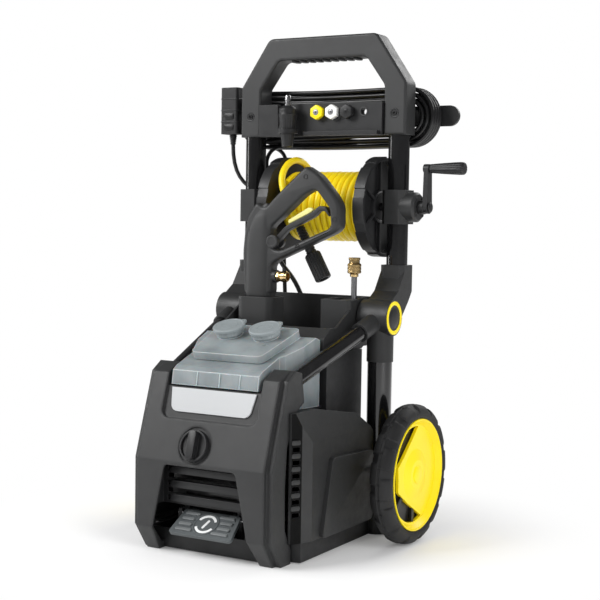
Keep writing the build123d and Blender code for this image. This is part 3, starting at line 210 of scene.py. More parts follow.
def metal(name, colour, rough=0.25, stretch=(1, 1, 40)):
    """Turned or brushed metal: fine lines, small tarnish clouds."""
    t = Tree(name)
    lines = t.noise(120, 3, 0.6, stretch=stretch)
    cloud = t.noise(35, 4)
    base = t.ramp(cloud, "Fac", rgb(colour, 0.82), rgb(colour, 1.08))
    t.join(base, "Color", t.shader, "Base Color")
    gloss = t.span(cloud, "Fac", rough + 0.1, rough - 0.05)
    t.join(gloss, "Result", t.shader, "Roughness")
    t.set(Metallic=1.0)
    t.surface([(lines, "Fac", 0.00002)], edge=0.0005)
    return t.material


def rubber(name, colour, rough=0.7, grain=0.00012):
    """Rubber or soft vinyl: a fine grain and paler, dusty clouds."""
    t = Tree(name)
    fine = t.noise(700, 4, 0.65)
    cloud = t.noise(14, 5)
    base = t.ramp(cloud, "Fac", rgb(colour, 0.8), rgb(colour, 1.35))
    t.join(base, "Color", t.shader, "Base Color")
    gloss = t.span(cloud, "Fac", rough - 0.1, rough + 0.08)
    t.join(gloss, "Result", t.shader, "Roughness")
    t.surface([(fine, "Fac", grain)], edge=0.0008)
    return t.material


def tank_plastic(name):
    """Cloudy blue-grey polyethylene, darker towards the bottom, with a painted highlight along its
    edges.
    """
    t = Tree(name)
    source = t.add("TexCoord")
    split = t.add("SeparateXYZ")
    t.join(source, "Object", split, "Vector")
    cloud = t.noise(16, 5, 0.6, stretch=(1, 1, 0.6))
    # darker towards the bottom: below 0.26 m the tank takes the darker ramp, above 0.36 m the
    # paler one
    height = t.span(split, "Z", 0.0, 1.0, 0.26, 0.36)
    low = t.ramp(cloud, "Fac", (0.12, 0.14, 0.15, 1), (0.19, 0.215, 0.225, 1))
    high = t.ramp(cloud, "Fac", (0.21, 0.24, 0.25, 1), (0.33, 0.365, 0.375, 1))
    tint = t.mix(height, "Result", low, high)
    # painted highlight: the tank's edges are mixed to a pale blue-grey, standing in for the bright
    # highlights along them
    worn_and_lit_edges = t.edges(0.0025)
    both = t.mix(worn_and_lit_edges, "Result", tint, (0.6, 0.65, 0.67, 1))
    t.join(both, "Result", t.shader, "Base Color")
    gloss = t.span(cloud, "Fac", 0.26, 0.4)
    t.join(gloss, "Result", t.shader, "Roughness")
    t.set(Subsurface_Weight=0.25, Subsurface_Scale=0.012, IOR=1.5, Coat_Weight=0.25,
          Coat_Roughness=0.2)
    ripple = t.noise(30, 3)
    t.surface([(ripple, "Fac", 0.0009)], edge=0.0025)
    return t.material


LOOKS = {
    "shell": moulded("shell_charcoal", (0.0255, 0.026, 0.0265), 0.46),
    "cover": moulded("cover_charcoal", (0.0265, 0.027, 0.0275), 0.46, edge=0.006),
    "dark": moulded("shell_near_black", (0.013, 0.0132, 0.014), 0.42),
    "black": moulded("black_plastic", (0.0085, 0.0085, 0.009), 0.36, wear=0.35),
    "cap": moulded("cap_grey", (0.25, 0.28, 0.29), 0.4, spread=0.06, wear=0.25),
    # painted highlight: the ribs are the pedal's own grey, made lighter for the light on their
    # tops
    "rib": moulded("pedal_rib", (0.15, 0.16, 0.163), 0.42, spread=0.05, wear=0.6),
    "pedal": moulded("pedal_grey", (0.082, 0.092, 0.096), 0.48, spread=0.08, wear=0.5),
    "mark": moulded("mark_white", (0.8, 0.81, 0.81), 0.45, spread=0.05, wear=0.1),
    "plate": moulded("plate_silver", (0.45, 0.46, 0.47), 0.3, spread=0.01, wear=0.15,
                     grain=0.00001),
    "yellow": moulded("yellow_plastic", (0.93, 0.73, 0.004), 0.36, spread=0.03, wear=0.05,
                      grain=0.00003),
    "white": moulded("white_plastic", (0.78, 0.78, 0.75), 0.35, spread=0.03, wear=0.05),
    "cream": moulded("lock_cream", (0.78, 0.74, 0.28), 0.4, spread=0.05, wear=0.1),
    "paint": painted("frame_gloss_black", (0.006, 0.006, 0.0065)),
    # painted shade: the motor's paint is darkened for the shadow it stands in behind the grille
    "motor": painted("motor_paint", (0.012, 0.012, 0.0125), 0.4),
    "brass": metal("brass", (0.74, 0.53, 0.25), 0.26),
    "steel": metal("steel", (0.5, 0.5, 0.51), 0.25),
    "tube": metal("wand_steel", (0.3, 0.3, 0.31), 0.3),
    "alloy": metal("cast_alloy", (0.42, 0.42, 0.43), 0.45, stretch=(1, 1, 1)),
    "tyre": rubber("tyre_rubber", (0.012, 0.012, 0.0125), 0.62),
    "cord": rubber("cord_jacket", (0.007, 0.007, 0.0075), 0.36, 0.00003),
    "hose": moulded("hose_yellow", (0.95, 0.72, 0.008), 0.38, spread=0.06, wear=0.0,
                    grain=0.00005, edge=0.0),
    "tank": tank_plastic("tank_smoky"),
    # painted shade: a near-black put in holes and recesses, where there is only shade
    "void": rubber("painted_shade_black", (0.001, 0.001, 0.001), 0.95),
}

NODE_LOOKS = {
    "cover": ["front_cover"],
    "shell": ["accessory_tray", "handle", "left_hub_joint", "right_hub_joint",
              "left_reel_collar", "right_reel_collar", "reel_swivel", "left_side_cover",
              "right_side_cover", "gun_body"],
    # inner_housing takes the near-black plastic as painted shade: it is the shell's plastic,
    # darkened for the shadow it stands in
    "dark": ["base_chassis", "front_grille", "inner_housing", "nozzle_panel", "selector_knob",
             "gun_trigger", "gfci_plug", "hose_end", "reel_drum", "left_reel_flange",
             "right_reel_flange", "crank_arm", "crank_grip", "black_nozzle", "turbo_nozzle"],
    "cap": ["left_tank_cap", "right_tank_cap"],
    "pedal": ["foot_pedal"],
    "plate": ["nameplate"],
    "yellow": ["left_rim", "right_rim", "hub_rings", "yellow_nozzle"],
    "white": ["white_nozzle"],
    "cream": ["trigger_lock"],
    "paint": ["left_lower_leg", "right_lower_leg", "left_strut", "right_strut",
              "left_upper_tube", "right_upper_tube"],
    "motor": ["motor"],
    "alloy": ["pump"],
    "brass": ["gun_inlet", "wand_coupling", "back_fittings"],
    "steel": ["axle", "pedal_pin"],
    "tube": ["wand_tube"],
    "black": ["handle_screws"],
    "tyre": ["left_tyre", "right_tyre"],
    "cord": ["cord_coil", "plug_lead", "machine_lead", "feed_hose"],
    "hose": ["hose_winding", "hose_tail"],
    "tank": ["soap_tank"],
}
for look, names in NODE_LOOKS.items():
    for name in names:
        mesh = nodes[name].data
        mesh.materials.clear()
        mesh.materials.append(LOOKS[look])

# ======== mesh helpers ========


def add_piece(name, bm, body, look, angle=32):
    """Make a piece of a bmesh, smooth but for edges sharper than angle degrees."""
    mesh = bpy.data.meshes.new(name)
    bmesh.ops.recalc_face_normals(bm, faces=bm.faces)
    bm.to_mesh(mesh)
    bm.free()
    piece = bpy.data.objects.new(name, mesh)
    scene.collection.objects.link(piece)
    mesh.materials.append(LOOKS[look])
    for face in mesh.polygons:
        face.use_smooth = True
    mesh.set_sharp_from_angle(angle=math.radians(angle))
    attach(piece, body)
    return piece


def frame_of(origin, axis, across):
    """A matrix whose Z is axis and whose X is as near across as can be."""
    z = Vector(axis).normalized()
    x = Vector(across)
    x = (x - z * x.dot(z)).normalized()
    return Matrix.Translation(origin) @ Matrix((x, z.cross(x), z)).transposed().to_4x4()


def lifted(height):
    """A shift of height mm along Z."""
    return Matrix.Translation((0, 0, height / 1000))


def add_skin(bm, loops):
    """Faces between each loop of vertices and the next."""
    for one, two in zip(loops, loops[1:]):
        for k in range(len(one)):
            n = (k + 1) % len(one)
            bm.faces.new((one[k], one[n], two[n], two[k]))


def add_lathe(bm, profile, place, steps=64, shape=None, ring=False):
    """Turn a profile of (radius, height) in mm about the Z of place.

    shape(angle, radius, height) may change a radius, and a ring's profile closes on itself."""
    rings = []
    for radius, height in profile:
        loop = []
        for k in range(steps):
            a = 2 * math.pi * k / steps
            r = (shape(a, radius, height) if shape else radius) / 1000
            spot = Vector((r * math.cos(a), r * math.sin(a), height / 1000))
            loop.append(bm.verts.new(place @ spot))
        rings.append(loop)
    add_skin(bm, rings + rings[:1] if ring else rings)
    if not ring:
        bm.faces.new(rings[0])
        bm.faces.new(rings[-1])


def lathe(name, profile, place, body, look, steps=64, shape=None, angle=32, ring=False):
    """A turned profile as a piece of its own."""
    bm = bmesh.new()
    add_lathe(bm, profile, place, steps, shape, ring)
    return add_piece(name, bm, body, look, angle)


def add_prism(bm, points, place, depth, bevel=0.0, segments=3):
    """Extrude an outline (mm, in X and Y of place) by depth mm along Z, with rounded edges."""
    low = [bm.verts.new(place @ Vector((x / 1000, y / 1000, 0))) for x, y in points]
    high = [bm.verts.new(place @ Vector((x / 1000, y / 1000, depth / 1000))) for x, y in points]
    faces = [bm.faces.new(low[::-1]), bm.faces.new(high)]
    count = len(points)
    for k in range(count):
        n = (k + 1) % count
        faces.append(bm.faces.new((low[k], low[n], high[n], high[k])))
    if bevel:
        edges = {e for f in faces for e in f.edges}
        bmesh.ops.bevel(bm, geom=list(edges), offset=bevel / 1000, segments=segments,
                        profile=0.5, affect="EDGES", clamp_overlap=True)


def rounded(width, height, radius, steps=5, cx=0.0, cy=0.0):
    """Outline of a rounded rectangle, mm."""
    out = []
    for qx, qy, start in ((1, 1, 0), (-1, 1, 90), (-1, -1, 180), (1, -1, 270)):
        for k in range(steps + 1):
            a = math.radians(start + 90 * k / steps)
            out.append((cx + qx * (width / 2 - radius) + radius * math.cos(a),
                        cy + qy * (height / 2 - radius) + radius * math.sin(a)))
    return out


def softened(points, radius, steps=4):
    """An outline with its corners turned into curves, mm."""
    out = []
    count = len(points)
    for k in range(count):
        here = Vector(points[k])
        one, two = Vector(points[k - 1]) - here, Vector(points[(k + 1) % count]) - here
        reach = min(radius, 0.48 * one.length, 0.48 * two.length)
        first, last = here + one.normalized() * reach, here + two.normalized() * reach
        for step in range(steps + 1):
            f = step / steps
            out.append(tuple(first * (1 - f) ** 2 + here * (2 * f * (1 - f)) + last * f ** 2))
    return out


def add_plate(bm, outlines, place, depth, edge):
    """A flat moulding with rolled edges, centred on place: an outline and its holes, mm."""
    data = bpy.data.curves.new("plate", "CURVE")
    data.dimensions = "2D"
    data.fill_mode = "BOTH"
    for points in outlines:
        spline = data.splines.new("POLY")
        spline.points.add(len(points) - 1)
        for point, (x, y) in zip(spline.points, points):
            point.co = (x / 1000, y / 1000, 0, 1)
        spline.use_cyclic_u = True
    data.extrude = (depth / 2 - edge) / 1000
    data.bevel_depth = edge / 1000
    data.bevel_resolution = 3
    data.offset = -edge / 1000
    shape = bpy.data.objects.new("plate", data)
    scene.collection.objects.link(shape)
    mesh = bpy.data.meshes.new_from_object(
        shape.evaluated_get(bpy.context.evaluated_depsgraph_get()))
    bpy.data.objects.remove(shape)
    mesh.transform(place)
    bm.from_mesh(mesh)
    bpy.data.meshes.remove(mesh)
    bmesh.ops.remove_doubles(bm, verts=bm.verts, dist=0.000002)


def add_loft(bm, sections, middle_y, steps=40, power=3.0):
    """A skin over level rounded squares (height, middle x, half width, half depth), mm."""
    loops = []
    for z, cx, wide, deep in sections:
        loop = []
        for k in range(steps):
            a = 2 * math.pi * k / steps
            c, d = math.cos(a), math.sin(a)
            x = cx + math.copysign(abs(c) ** (2 / power), c) * wide
            y = middle_y + math.copysign(abs(d) ** (2 / power), d) * deep
            loop.append(bm.verts.new(at(x, y, z)))
        loops.append(loop)
    add_skin(bm, loops)
    bm.faces.new(loops[0][::-1])
    bm.faces.new(loops[-1])


def arc_points(radius, start, end, steps):
    """Points on an arc about the origin, from start to end degrees."""
    angles = [math.radians(start + (end - start) * k / steps) for k in range(steps + 1)]
    return [(radius * math.cos(a), radius * math.sin(a)) for a in angles]


def hexagon(radius, turn=30):
    """Corners of a hexagon, turned by degrees."""
    angles = [math.radians(60 * k + turn) for k in range(6)]
    return [(radius * math.cos(a), radius * math.sin(a)) for a in angles]


def cord_curve(name, points, diameter, look, body):
    """A cord's NURBS curve through control points in the row frame."""
    data = bpy.data.curves.new(name, "CURVE")
    data.dimensions = "3D"
    spline = data.splines.new("NURBS")
    spline.points.add(len(points) - 1)
    for point, place in zip(spline.points, points):
        point.co = (*place, 1.0)
        point.radius = diameter / 2
    spline.order_u = 3
    spline.use_endpoint_u = True
    spline.resolution_u = 4
    data.bevel_depth = 1.0
    data.bevel_resolution = 4
    data.use_fill_caps = True
    piece = bpy.data.objects.new(name, data)
    scene.collection.objects.link(piece)
    data.materials.append(LOOKS[look])
    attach(piece, body)
    return piece


# ======== cords ========

# --- power cord: gland, up to the coil, round the hooks, down and over to the plug ---
CORD_D = 0.008
# the leads: from the gland into the first turn, and out of the last turn to the plug
GLAND_SIDE = [(-90, 116, 306), (-90, 156, 306), (-91, 184, 334), (-96, 188, 400), (-104, 196, 470),
              (-112, 204, 530), (-122, 206, 590), (-142, 206, 640), (-152.3, 206, 674),
              (-156, 206, 686), (-156, 205, 702.1), (-146.9, 204, 717.9), (-131.1, 202, 727),
              (-112.9, 201, 727)]
PLUG_SIDE = [(-150, 231, 727.5), (-131, 229.5, 716.5), (-122, 228.5, 698), (-122, 228, 660),
             (-160, 222, 632), (-200, 200, 646), (-220, 178.7, 690), (-220, 178.7, 732)]
COIL_END_X, COIL_MID_Z, COIL_BACK_Y = 159.5, 781.0, 200.5
COIL_R = 53.5
COIL_STEP = 10.5
COIL_SAG = 2.5
HALF_STEP = 15  # half the degrees between two control points round an end of the coil
EASE_STOPS = 5  # control points over which a turn moves to its own row or layer
# row from the outside in, and column from the panel back, of each turn in its winding order
COIL_ORDER = [(0, 0), (0, 1), (1, 1), (1, 0), (2, 0), (2, 1), (2, 2), (1, 2), (1, 3), (0, 2),
              (0, 3)]


def coil_turn(turn):
    """Control points of one turn: along the bottom to the right, round, and back over the top."""
    row, column = COIL_ORDER[turn]
    before = COIL_ORDER[max(turn - 1, 0)]
    # along a run, -1 and 1 stand for its left and right end
    stops = [("run", x, -1) for x in (-1, -90, -30, 30, 90, 1)]
    stops += [("end", 1, a) for a in range(-90 + HALF_STEP, 90, 2 * HALF_STEP)]
    stops += [("run", x, 1) for x in (1, 90, 30, -30, -90, -1)]
    stops += [("end", -1, a) for a in range(90 + HALF_STEP, 270, 2 * HALF_STEP)]
    if turn == 0:
        stops = stops[1:]
    half = math.radians(HALF_STEP)
    found = []
    for number, (kind, first, second) in enumerate(stops):
        ease = min(1.0, (number + 1) / EASE_STOPS)
        radius = COIL_R - COIL_STEP * (before[0] + (row - before[0]) * ease)
        depth = COIL_STEP * (before[1] + (column - before[1]) * ease)
        wander = noise.noise(Vector((turn * 3.1, number * 0.45, 0.3)))
        if kind == "run":
            x = first * (COIL_END_X - radius * math.tan(half)) if abs(first) == 1 else first
            z = second * radius - COIL_SAG * (1 - (x / COIL_END_X) ** 2)
        else:
            reach = radius / math.cos(half)
            x = first * COIL_END_X + reach * math.cos(math.radians(second))
            z = reach * math.sin(math.radians(second))
        found.append(at(x, COIL_BACK_Y + depth + 1.2 * wander, COIL_MID_Z + z + 0.8 * wander))
    return found


power_points = [at(*p) for p in GLAND_SIDE]
for turn in range(len(COIL_ORDER)):
    power_points += coil_turn(turn)
power_points += [at(*p) for p in PLUG_SIDE]
power_cord = cord_curve("power_cord", power_points, CORD_D, "cord", "machine")
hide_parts("cord_coil", "plug_lead", "machine_lead")

# --- hose on the drum, and its free end ---
HOSE_D = 0.013
HOSE_PITCH = 13.3
LAYER_1, LAYER_2 = 50.0, 61.2
HOSE_LEFT_X, HOSE_RIGHT_X = -68.0, 105.0
LAYER_2_SHORT = 8  # how much sooner, in mm, the outer layer stops at the left
OUTER_FEWER = 0.6  # how many turns fewer the outer layer has
PER_TURN = 16


def reel_point(x, radius, number):
    """Control point of the winding, counted in steps round the reel."""
    angle = 2 * math.pi * number / PER_TURN
    k = 1.0 / math.cos(math.pi / PER_TURN) ** 0.5
    return at(x, TUBE_Y + radius * k * math.cos(angle), REEL_Z + radius * k * math.sin(angle))


hose_wide = HOSE_RIGHT_X - HOSE_LEFT_X
hose_turns = hose_wide / HOSE_PITCH
inner_count = int(hose_turns * PER_TURN)
outer_count = int((hose_turns - OUTER_FEWER) * PER_TURN)
hose_points = [reel_point(HOSE_LEFT_X + hose_wide * k / inner_count, LAYER_1, k)
               for k in range(inner_count + 1)]
for k in range(1, outer_count + 1):
    x = HOSE_RIGHT_X - (hose_wide - LAYER_2_SHORT) * k / outer_count
    rise = min(1.0, k / EASE_STOPS)
    wobble = 0.5 * noise.noise(Vector((k * 0.21, 1.7, 0.2)))
    hose_points.append(reel_point(x, LAYER_1 + (LAYER_2 - LAYER_1) * rise + wobble,
                                  inner_count + k))
wound_hose = cord_curve("wound_hose", hose_points, HOSE_D, "hose", "reel")
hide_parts("hose_winding")

# --- feed hose ---
FEED_D = 0.009
feed_points = [at(*p) for p in [
    (-112, 170, 575), (-112, 170, 538), (-101, 168, 500), (-68, 172, 466), (-50, 180, 424),
    (-39, 191, 378), (-36, 191, 327), (-35, 160, 296), (-35, 116, 296)]]
feed_hose = cord_curve("feed_hose_tube", feed_points, FEED_D, "cord", "machine")
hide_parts("feed_hose")


def curve_length(piece):
    """Length of a curve's own line, in metres."""
    bevel, piece.data.bevel_depth = piece.data.bevel_depth, 0.0
    bpy.context.view_layer.update()
    graph = bpy.context.evaluated_depsgraph_get()
    line = bpy.data.meshes.new_from_object(piece.evaluated_get(graph))
    total = sum((line.vertices[e.vertices[0]].co - line.vertices[e.vertices[1]].co).length
                for e in line.edges)
    bpy.data.meshes.remove(line)
    piece.data.bevel_depth = bevel
    return total


for piece in (power_cord, wound_hose, feed_hose):
    print("cord", piece.name, round(curve_length(piece), 3))

# ======== wheels ========

TREAD_BLOCKS = 14
NOTCH_SHARE, NOTCH_DEPTH = 0.34, 4.2
SHOULDER_R = 114


def wheel_place(side):
    """The wheel's middle, with Z along the axle and outwards."""
    return frame_of(at(side * WHEEL_X, AXLE_Y, AXLE_Z), (side, 0, 0), FRONT)


def tread(angle, radius, height):
    """Wide notches on alternating shoulders, and small cuts along the middle."""
    if radius < SHOULDER_R:
        return radius
    depth = 0.0
    blocks = angle / (2 * math.pi) * TREAD_BLOCKS
    phase = (blocks + (0.5 if height > 0 else 0.0)) % 1.0
    if abs(height) > 6 and phase < NOTCH_SHARE:
        edge = min(phase, NOTCH_SHARE - phase) / 0.03
        depth = NOTCH_DEPTH * min(1.0, edge) * min(1.0, (abs(height) - 6) / 3)
    if abs(height) < 6.5 and ((blocks * 2) % 1.0) < 0.06:
        depth = max(depth, 1.2)
    return radius - depth


def tyre_piece(word, side):
    """A tyre with a shallow groove round its middle and a notched tread."""
    profile = [(101.3, 17.5), (103.5, 19.6), (107, 20.6), (108, 20.2), (109, 20.8),
               (114.5, 20.8), (118.5, 19.0), (122.2, 15.8), (124.4, 12.0), (125.8, 7.5),
               (126.3, 3.2), (125.2, 2.2), (125.2, 0.0)]
    full = [(r, -h) for r, h in profile] + [(r, h) for r, h in profile[-2::-1]]
    piece = lathe(f"{word}_tyre_tread", full, wheel_place(side), f"{word}_wheel", "tyre",
                  steps=336, shape=tread, angle=28, ring=True)
    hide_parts(f"{word}_tyre")


def wheel_trim(word, side):
    """The rim's bright lip, the dark web and ribs behind its crescent, and a bare hub cap."""
    place = wheel_place(side)
    body = f"{word}_wheel"
    lathe(f"{word}_rim_lip", [(97.2, 17.2), (97.6, 19.6), (99.2, 20.7), (100.9, 20.2),
                              (101.2, 18.6), (101.0, 16.8)],
          place, body, "yellow", steps=128, ring=True)
    lathe(f"{word}_rim_web", [(10, 3.0), (60, 4.0), (86.5, 1.0), (92.5, 1.0), (92.5, -1.5),
                              (60, 0.5), (10, -0.5)],
          place, body, "black", steps=96, ring=True)
    bm = bmesh.new()
    for angle in (38, 90, 142):
        spoke = place @ Matrix.Rotation(math.radians(angle - 90), 4, "Z")
        add_prism(bm, rounded(9, 46, 3, cy=64), spoke @ lifted(3.5), 5.5, 1.2)
    add_piece(f"{word}_rim_ribs", bm, body, "black")
    lathe(f"{word}_hub_cap", [(2, 19.6), (13, 19.4), (15.5, 18.2), (16, 16.6)], place, body,
          "yellow")


for word, side in SIDES:
    tyre_piece(word, side)
    wheel_trim(word, side)

# ======== handle, hubs and reel hardware ========

# finger ridges under the top bar
bm = bmesh.new()
for k in range(9):
    place = frame_of(at(-68 + 17 * k, TUBE_Y, 891.6), (0, 0, -1), RIGHT)
    add_prism(bm, rounded(11, 26, 5), place, 3.2, 1.4)
add_piece("handle_finger_ridges", bm, "machine", "shell")

# how far out the face of each collar lies, and how far from the reel's axis its screws are
COLLAR_SCREWS = {"left": (-182.7, 13, 22), "right": (203.2, 14.1, 14.1)}
for word, side in SIDES:
    # recessed screw of the handle
    place = frame_of(at(side * 159, 147.6, 784), FRONT, RIGHT)
    lathe(f"{word}_screw_rim", [(5.6, -0.4), (5.8, 0.6), (8.4, 0.9), (9.4, 0.1), (9.4, -0.6)],
          place, "machine", "dark", steps=40, ring=True)
    bm = bmesh.new()
    add_lathe(bm, [(0.4, 0.9), (3.9, 0.9), (4.4, 0.3), (4.4, -1.6)], place, 32)
    for turn in (20, 110):
        slot_place = place @ Matrix.Rotation(math.radians(turn), 4, "Z") @ lifted(0.7)
        add_prism(bm, rounded(1.1, 5.2, 0.5), slot_place, 0.5)
    # painted shade: the recessed screw's head and slots take the near-black of the hole's shadow
    add_piece(f"{word}_screw_head", bm, "machine", "void")

    # hub joint: a domed disc inside the yellow ring, and the ring's rolled lip
    place = frame_of(at(side * 186.4, 107, 404), (side, 0, 0), FRONT)
    lathe(f"{word}_hub_dome", [(1, 2.6), (12, 2.2), (19, 0.9), (22.2, -0.8), (22.4, -2.4)],
          place, "machine", "dark")
    lathe(f"{word}_hub_ring_lip", [(23.9, -1.8), (24.1, 0.9), (25.2, 1.5), (29.4, 1.5),
                                   (30.4, 0.9), (30.8, -1.4)],
          place, "machine", "yellow", steps=96, ring=True)

    # clamp screws of the reel's collar
    bm = bmesh.new()
    face_x, out_y, out_z = COLLAR_SCREWS[word]
    for z in (-1, 1):
        for y in (-1, 1):
            spot = at(face_x, TUBE_Y + out_y * y, REEL_Z + out_z * z)
            add_lathe(bm, [(0.5, 0.2), (2.6, 0.2), (2.8, 1.0), (4.4, 1.0), (4.8, 0.3),
                           (4.8, -0.6)], frame_of(spot, (side, 0, 0), FRONT), 24)
    add_piece(f"{word}_collar_screws", bm, "machine", "dark")


def flutes(count, depth):
    """A shape for a lathe: count grooves along its length."""
    def shape(angle, radius, height):
        return radius - depth * (0.5 + 0.5 * math.cos(count * angle)) ** 3
    return shape


# crank: fluted grip, and the knuckles at both ends of the arm
grip = lathe("crank_grip_fluted",
             [(4.3, 0), (7.6, 0.2), (8.4, 1.4), (8.8, 3.4), (8.6, 5.2), (9.0, 8), (10.4, 28),
              (11.6, 50), (12.0, 61), (11.6, 66.6), (9.8, 69), (6, 69.6), (1, 69.6)],
             frame_of(at(225.4, TUBE_Y, CRANK_Z), RIGHT, FRONT), "crank_grip", "dark",
             steps=96, shape=flutes(12, 0.7))
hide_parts("crank_grip")
bm = bmesh.new()
add_lathe(bm, [(4.5, -0.2), (9.2, 0.0), (9.6, 1.0), (9.6, 2.8), (8.2, 3.6), (3, 3.8), (1, 3.8)],
          frame_of(at(224, TUBE_Y, REEL_Z), RIGHT, FRONT), 48)
add_lathe(bm, [(1, -3.4), (6.5, -3.4), (8.3, -2.4), (8.5, 0)],
          frame_of(at(215.2, TUBE_Y, CRANK_Z), RIGHT, FRONT), 48)
add_piece("crank_knuckles", bm, "reel", "dark")

# reel flanges: a raised ring round the hub
for word, x, out in (("left", -75.0, -1), ("right", 112.0, 1)):
    bm = bmesh.new()
    add_lathe(bm, [(25.5, 11.2), (27.5, 12.2), (30, 11.4), (31, 4), (25.5, 4)],
              frame_of(at(x, TUBE_Y, REEL_Z), (out, 0, 0), FRONT), ring=True)
    add_piece(f"{word}_flange_ring", bm, "reel", "dark")

# ======== hose end ========

HOSE_FRONT_Y = TUBE_Y - 68 - 6.5 - 0.35
relief_top = at(-10, HOSE_FRONT_Y - 1.2, 568)
nut_end = at(46, HOSE_FRONT_Y - 5, 471)
nut_axis = (nut_end - relief_top).normalized()
nut_place = frame_of(relief_top, nut_axis, FRONT)
nut_length = (nut_end - relief_top).length * 1000
relief = [(6.6, 0.0), (8.3, 0.1)]
for k in range(9):
    low = 3 + k * 6.0
    r = 8.4 + 0.12 * k
    relief += [(r, low), (r + 0.5, low + 0.8), (r + 0.5, low + 3.2), (r, low + 3.9),
               (r - 1.2, low + 4.2), (r - 1.2, low + 5.7)]
relief += [(9.2, 58), (9.6, 59)]
relief_piece = lathe("hose_strain_relief", relief, nut_place, "machine", "dark",
                     steps=48, angle=24)


def nut_flutes(angle, radius, height):
    """Grooves along the nut, but for its ends."""
    if 63 < height < nut_length - 3:
        return radius - 1.5 * max(0.0, math.cos(16 * angle)) ** 2
    return radius


nut_piece = lathe("hose_nut",
                  [(9.4, 56.4), (13.6, 57.2), (15.4, 59.5), (15.8, 63.5), (15.8, 66),
                   (15.8, nut_length - 7), (15.8, nut_length - 3.4), (15.2, nut_length - 1),
                   (14, nut_length - 0.2), (9.6, nut_length - 0.2), (9.2, nut_length - 8),
                   (1, nut_length - 9)],
                  nut_place, "machine", "dark", steps=128, shape=nut_flutes,
                  angle=24)
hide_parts("hose_end")
tail_points = [at(x, TUBE_Y - radius * math.sin(math.radians(angle)),
                  REEL_Z + radius * math.cos(math.radians(angle)))
               for x, radius, angle in ((-60, 75.1, -80), (-60, 81, -53), (-60, 87, -27),
                                        (-60, 92, 0), (-61, 92, 25), (-58, 90, 50),
                                        (-46, 83, 73))]
tail_points += [relief_top - nut_axis * 0.04, relief_top]
hose_tail = cord_curve("hose_tail_tube", tail_points, HOSE_D, "hose", "machine")
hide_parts("hose_tail")

# ======== plug ========

PLUG_X, PLUG_Y, PLUG_Z = -220.0, 178.7, 752.0


def plug_level(z):
    """A level place in the plug, z mm above its lower end."""
    return frame_of(at(PLUG_X, PLUG_Y, PLUG_Z + z), UP, RIGHT)


bm = bmesh.new()
add_prism(bm, rounded(40.6, 34.6, 5, 6), plug_level(0.3), 93.2, 3.0, 4)
add_prism(bm, rounded(33, 27, 4, 6), plug_level(92), 1.6, 0.8)
for z in (24, 47, 70):
    add_prism(bm, rounded(43, 37, 6, 6), plug_level(z), 1.4, 0.5)
plug_shell = add_piece("plug_shell", bm, "machine", "dark")
bm = bmesh.new()
for z in (14, 36):
    add_prism(bm, rounded(22, 12, 3),
              frame_of(at(PLUG_X, PLUG_Y - 17.0, PLUG_Z + z), FRONT, RIGHT), 1.8, 0.7)
plug_pads = add_piece("plug_pads", bm, "machine", "black")
relief = [(4.2, -19.8), (5.4, -19.6)]
for k in range(5):
    low = -19 + 3.7 * k
    r = 5.6 + 0.55 * k
    relief += [(r, low), (r, low + 2.0), (r - 1.0, low + 2.3), (r - 0.9, low + 3.4)]
relief += [(8.2, -0.4), (8.4, 0.4)]
plug_relief = lathe("plug_strain_relief", relief, plug_level(0), "machine", "dark",
                    steps=40, angle=24)
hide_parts("gfci_plug")

# ======== nozzles ========

for name, x, look, slot in (("yellow_nozzle", 0.0, "yellow", "yellow"),
                            ("white_nozzle", NOZZLE_PITCH, "white", "white_plastic"),
                            ("black_nozzle", 2 * NOZZLE_PITCH, "dark", "dark_shell")):
    place = frame_of(at(x, PANEL_Y - 0.35, NOZZLE_Z), FRONT, RIGHT)
    bm = bmesh.new()
    add_prism(bm, hexagon(14.6), place, 12.6, 2.0, 4)
    add_lathe(bm, [(5.9, 0.5), (5.9, -8), (5.2, -8.6), (5.2, -12), (5.9, -12.6), (5.9, -28),
                   (4.8, -29.6), (1, -29.6)], place, 32)
    head = add_piece(f"{name}_head", bm, name, look, 24)
    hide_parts(name)
    bm = bmesh.new()
    add_lathe(bm, [(1.3, 12.9), (3.2, 13.0), (4.0, 12.8), (5.8, 12.9), (6.2, 12.4)], place, 40)
    add_piece(f"{name}_orifice", bm, name, "steel" if look != "dark" else "black")
    # painted shade: a near-black disc closes the orifice's bore, as the shade inside the hole
    bm = bmesh.new()
    add_lathe(bm, [(0.1, 13.06), (1.4, 13.06), (1.4, 12.4)], place, 24)
    add_piece(f"{name}_bore", bm, name, "void")


def turbo_grooves(angle, radius, height):
    """Grooves along the lower part of the turbo nozzle's body."""
    if 6 < height < 58:
        return radius - 0.9 * max(0.0, math.cos(10 * angle)) ** 3
    return radius


place = frame_of(at(-57, 121, 721), UP, RIGHT)
turbo = lathe("turbo_nozzle_body",
              [(1, 0.2), (7.5, 0.2), (8.4, 0.4), (10.6, 1.4), (11.0, 3), (11.4, 6), (13.9, 28),
               (16.2, 50), (17.5, 60), (17.9, 63), (17.2, 65), (16.9, 68), (17.2, 71),
               (16.8, 74), (14, 77), (11, 79.2), (10.4, 79.8), (6, 80.0)],
              place, "turbo_nozzle", "dark", steps=120, shape=turbo_grooves,
              angle=26)
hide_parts("turbo_nozzle")
lathe("turbo_nozzle_plug",
      [(5.9, 79), (5.9, 84), (4.9, 84.6), (4.9, 88), (5.9, 88.6), (5.9, 96), (5.0, 99.4),
       (3.4, 100.8), (2.4, 100.8), (2.2, 97), (0.5, 97)],
      place, "turbo_nozzle", "steel", steps=48, angle=26)

# raised rims round the four sockets, of which the last is empty
bm = bmesh.new()
for k in range(4):
    add_lathe(bm, [(6.3, 0.4), (6.3, 0.9), (8.8, 1.0), (9.6, 0.2), (9.6, -0.5)],
              frame_of(at(NOZZLE_PITCH * k, PANEL_Y, NOZZLE_Z), FRONT, RIGHT), 36, ring=True)
add_piece("socket_rims", bm, "machine", "shell")

# ======== wand coupling and gun ========

